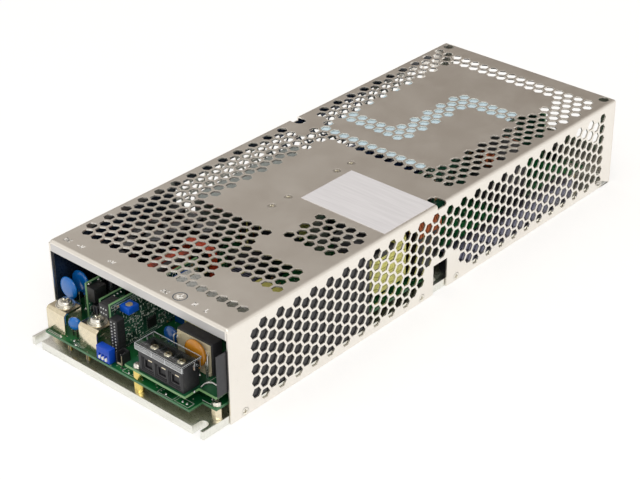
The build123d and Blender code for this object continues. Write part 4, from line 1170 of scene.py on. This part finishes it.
face.taken += [(-9, 4, 34, 52), (-68, -52, -1, 20)]
face.scatter((-16.0, 14.0, -17.4, -6.0), 31, 14)
face.scatter((16.0, 52.0, -6.0, 4.0), 33, 24)
face.scatter((-64.0, 66.0, 4.0, 116.0), 32, 420)
face.done("main_board_parts")

# Mains board, with a bare wire beside the terminals
face = Board(0, AC_TOP, UPWARD)
joints = ((56.0, -11.6), (58.6, 6.0), (64.0, 12.0), (12.4, 2.0), (14.0, -4.0), (56.4, 16.0), (13.0, 14.0))
face.pads(0.9, joints)
face.outline(10.4, -1.0, 15.4, 12.0)
face.outline(55.2, 0.8, 66.0, 16.2)
face.done("mains_board_parts")
arc = Shape()
rise = [(56.2, -7.0, 21.3), (56.0, -4.4, 21.9), (56.9, -2.0, 22.3), (58.8, -0.6, 22.2), (61.4, -0.1, 21.4)]
arc.tube(route(*rise), 0.55)
arc.make("mains_board_wire", ["tin"])

# Bobbin face and lead loops of the front choke
make_blocks("choke_bobbin_face", ["cream"], (
    ((28.2, 53.4), (3.75, 4.55), (21.4, 40.7), 0.25),
    ((28.2, 53.4), (2.75, 4.55), (21.4, 24.0), 0.4),
    ((28.8, 31.2), (2.9, 4.4), (36.4, 39.4), 0.3),
    ((50.2, 52.8), (2.9, 4.4), (34.4, 37.2), 0.3),
))
loops = Shape()
for x, top, low in ((51.2, 36.2, AC_TOP), (52.4, 35.6, AC_TOP), (26.9, 37.4, 30.0), (29.6, 37.9, AC_TOP)):
    bow = [(x, 4.6, top - 0.4), (x, 3.0, top), (x, 2.3, top - 1.0), (x + 0.1, 2.2, (top + low) / 2)]
    loops.tube(route(*bow, (x, 2.3, low)), 0.36)
loops.make("choke_leads", ["tin"])

# Blue part between the busbars, with its legs, and pins under the front edge
blue = Shape()
blue.put((-40.4, -10.6, 21.8), (0.35, -1, 0))
blue.lathe([(0, -2.1), (2.6, -1.9), (3.7, -1.1), (4.1, 0), (3.7, 1.1), (2.6, 1.9), (0, 2.1)], 32)
blue.put()
for x in (-41.8, -38.4):
    blue.tube(route((x, -11.0, 20.0), (x, -11.1, 17.4), (x, -11.0, BOARD_TOP)), 0.4, 8, 1)
blue.make("front_disc", ["disc_blue", "dark_metal"])
pins = Shape()
for x in (-38.4, -23.2):
    pins.deep_block((x - 1.1, x + 1.1), (-17.6, -15.6), (8.2, 12.0))
    for left, right in ((-0.5, 0.1), (0.5, 1.0)):
        pins.deep_block((x + left, x + right), (-17.9, -17.5), (6.6, 12.0), 0.08, 1)
pins.make("edge_pins", ["brass", "dark_metal"])

# Power devices on the base plate, leads of the transformers, and what stands behind the control board
PLATE_TOP = 5.2
devices = Shape()
for side in (-1, 1):
    for d in (70.0, 140.0, 225.0, 250.0, 275.0, 300.0):
        x = 34.0 * side
        devices.deep_block((x - 10.5, x + 10.5), (d - 8.0, d + 8.0), (PLATE_TOP, 6.2), 0.2, 2)
        devices.deep_block((x - 9.8, x + 9.8), (d - 7.8, d + 3.4), (6.2, 10.2), 0.5)
        for leg in (x - 5.4, x, x + 5.4):
            bent = route((leg, d + 3.2, 7.6), (leg, d + 5.4, 7.6), (leg, d + 6.6, 8.4), (leg, d + 6.8, 12.1))
            devices.tube(bent, 0.45, 6, 1)
devices.stand_in("power_devices", ["chip", "tin", "dark_metal"])
leads = Shape()
for middle in (49.0, -27.0):
    for k in range(4):
        for way in (-1, 1):
            x, d, z = middle + (k - 1.5) * 5.4, 139.0 + way * 15.4, 46.8 - k * 1.2
            near = [(0, z), (2.8 + 0.3 * (k % 2), z + 0.9), (6.2, z - 3.2), (6.3, 28.0), (6.2, BOARD_TOP)]
            leads.tube(route(*[(x, d + way * out, height) for out, height in near]), 0.55, 8, k % 2)
leads.make("transformer_leads", ["copper", "tape_yellow"])
make_blocks("blue_box_capacitor", ["line_blue"], (
    ((-9.2, -1.2), (36.0, 48.0), (BOARD_TOP, 43.6), 0.6),
    ((-8.6, -1.8), (36.6, 47.4), (43.5, 43.8), 0.1),
))

# What the vents show at the left: a film, a dark strip painted as shade along the wall's upper inside edge,
# can capacitors, a bent sheet, red tape and leads
INSIDE_LEFT_WALL_X = (-69.2, -68.7)
make_blocks("left_film_rear", ["dark_film"], [(INSIDE_LEFT_WALL_X, (62.2, 97.0), (6.0, 54.8), 0.1)])
# Dark strip just inside the left wall's upper edge: painted shade
make_blocks("left_wall_painted_shade_strip", ["dark_film"], [(INSIDE_LEFT_WALL_X, (97.4, 345.0), (54.2, 57.6), 0.1)])
bank = [(x, distance, BOARD_TOP) for x in (-59.5, -44.5) for distance in (57.0, 72.0, 87.0)]
can_group(bank + [(-29.5, 84.0, BOARD_TOP)], 6.5, 34.0).make("bank_capacitors", CAN_LOOKS)
make_blocks("left_inner_sheet", ["pale_sheet"], (
    ((-56.0, -38.4), (100.0, 186.0), (51.6, 52.4), 0.2),
    ((-56.0, -55.2), (100.0, 186.0), (BOARD_TOP, 52.4), 0.2),
))
make_blocks("aux_transformer_tape", ["tape_red"], (
    ((-30.2, -23.6), (34.0, 58.0), (39.4, 44.4), 0.5),
    ((-24.4, -20.4), (55.0, 61.0), (39.6, 44.2), 0.5),
))
leads = Shape()
for k in (-1, 0, 1):
    d, z = 70.0 + 1.9 * k, 44.6 + 0.5 * (k % 2)
    arch = [(-33.0, BOARD_TOP), (-33.0, z - 4), (-31.5, z - 0.6), (-28, z)]
    arch += [(-15, z), (-12, z - 0.8), (-10.6, z - 4), (-10.6, BOARD_TOP)]
    leads.tube(route(*[(x, d, height) for x, height in arch]), 1.0, 10)
leads.make("red_leads", ["tape_red"])

# What the vents show in the middle: a crumpled film and dark parts with fins
film = Shape()
rng = random.Random(4)
columns, rows = 18, 5
wrinkled = [
    (-2 + 68 * i / (columns - 1), deep(30.5 + 13 * j / (rows - 1)), 47.3 + rng.uniform(0, 0.9))
    for j in range(rows)
    for i in range(columns)
]
film.add(wrinkled, grid_faces(rows, columns))
film.make("capacitor_film", ["silver_film"], "grey_film")
fins = [((0.0, 20.0), (62.0 + k * 1.7, 62.7 + k * 1.7), (BOARD_TOP, 36.0), 0.15, 1) for k in range(9)]
make_blocks("middle_parts", ["chip", "post_metal"], [
    ((-8.0, 12.0), (78.0, 94.0), (BOARD_TOP, 40.0), 0.6),
    ((-7.4, 11.4), (78.6, 93.4), (39.9, 40.3), 0.1),
    *fins,
    ((0.0, 20.0), (61.0, 76.6), (BOARD_TOP, 17.0), 0.3, 1),
])

# What the rear and side vents show: an upright board, the gap in the yellow winding, a copper coil
rear_parts = [
    ((11.5 * k - 40.0, 11.5 * k - 33.0), (339.0, 343.0), (18.0, 30.0 + 4 * (k % 2)), 0.4, 1) for k in range(6)
]
make_blocks("rear_board", ["board_across", "chip"], [
    ((-46.0, 31.0), (337.4, 339.0), (BOARD_TOP, 45.0), 0.1),
    ((31.0, 42.0), (338.0, 344.5), (BOARD_TOP, 24.0), 0.4, 1),
    *rear_parts,
])
make_blocks("winding_gap", ["ferrite"], [((62.0, 66.4), (122.0, 141.0), (43.4, 47.8), 0.4)])
coil = Shape()
turn = [(58.5, BOARD_TOP), (58.5, 47.0), (60.0, 49.6), (62.6, 50.6), (65.0, 49.4), (66.0, 46.6), (66.0, 41.0)]
for k in range(9):
    coil.tube(route(*[(x, 164.0 + 2.3 * k, z) for x, z in turn]), 1.05)
coil.deep_block((58.9, 65.0), (163.0, 184.0), (41.0, 49.2), 0.6, 1)
coil.deep_block((58.9, 65.0), (164.4, 182.6), (BOARD_TOP, 41.0), 0.6, 1)
coil.make("side_coil", ["copper", "chip"])


# Stage: pale floor, soft lamps, plain surroundings and the camera of the photograph
def stage_floor():
    """A pale floor that shows evenly to the camera, in gloss and through glass, and keeps its shadow"""
    mesh = bpy.data.meshes.new("floor")
    mesh.from_pydata([(-15, -15, 0), (15, -15, 0), (15, 15, 0), (-15, 15, 0)], [], [(0, 1, 2, 3)])
    floor = bpy.data.objects.new("floor", mesh)
    bpy.context.scene.collection.objects.link(floor)
    floor.location.z = -0.0002
    paper = Look("floor_paper")
    paper.set(Roughness=0.9, Base_Color=(0.6, 0.6, 0.6, 1))
    rays = paper.node("ShaderNodeLightPath", {}).outputs
    seen = paper.compute("MAXIMUM", rays["Is Camera Ray"], rays["Is Glossy Ray"])
    seen = paper.compute("MAXIMUM", seen, rays["Is Transmission Ray"])
    strength = paper.compute("MULTIPLY", seen, 0.5)
    glow = paper.node("ShaderNodeEmission", {"Color": (1, 1, 1, 1), "Strength": strength})
    both = paper.node("ShaderNodeAddShader", {0: paper.shader.outputs[0], 1: glow.outputs[0]})
    paper.feed(paper.tree.nodes["Material Output"].inputs["Surface"], both.outputs[0])
    mesh.materials.append(paper.material)


def lamp(name, at, size, power):
    """A round soft lamp that shines at the middle of the floor"""
    light = bpy.data.lights.new(name, "AREA")
    light.shape = "DISK"
    light.size = size
    light.energy = power
    light.color = (1.0, 0.985, 0.96)
    made = bpy.data.objects.new(name, light)
    made.location = at
    made.rotation_euler = (-Vector(at)).to_track_quat("-Z", "Y").to_euler()
    bpy.context.scene.collection.objects.link(made)


def studio_world():
    """Pale surroundings, darker on the side that the camera's view goes towards"""
    world = bpy.data.worlds.new("studio")
    bpy.context.scene.world = world
    world.use_nodes = True
    sky = Nodes(world.node_tree)
    direction = sky.node("ShaderNodeTexCoord", {}).outputs["Generated"]
    inputs = {0: direction, 1: (-0.4, 0.88, 0.26)}
    away = sky.node("ShaderNodeVectorMath", inputs, operation="DOT_PRODUCT").outputs["Value"]
    wall = sky.mix(sky.spread(away, 0.0, 1.0, 0.56, 0.98), (0.86, 0.83, 0.79, 1), (0.19, 0.158, 0.132, 1))
    sky.feed(sky.tree.nodes["Background"].inputs["Color"], wall)


def photo_camera():
    """The camera that was solved from the photograph"""
    camera = bpy.data.cameras.new("photo_camera")
    camera.sensor_width = 36.0
    camera.lens = 95.76
    camera.clip_start = 0.01
    holder = bpy.data.objects.new("photo_camera", camera)
    right = Vector((0.7439016, 0.66821824, -0.00973595))
    down = Vector((0.3325083, -0.38272729, -0.86195014))
    ahead = Vector((-0.57969702, 0.63796881, -0.50689956))
    turn = Matrix((right, -down, -ahead)).transposed().to_4x4()
    holder.matrix_world = Matrix.Translation((0.59865, -0.67965, 0.54395)) @ turn
    bpy.context.scene.collection.objects.link(holder)
    bpy.context.scene.camera = holder


stage_floor()
lamp("soft_key", (0.9, -0.9, 1.15), 0.9, 4.6)
lamp("soft_top", (-0.1, -0.25, 1.5), 0.8, 1.6)
studio_world()
photo_camera()
bpy.context.scene.view_settings.view_transform = "Standard"
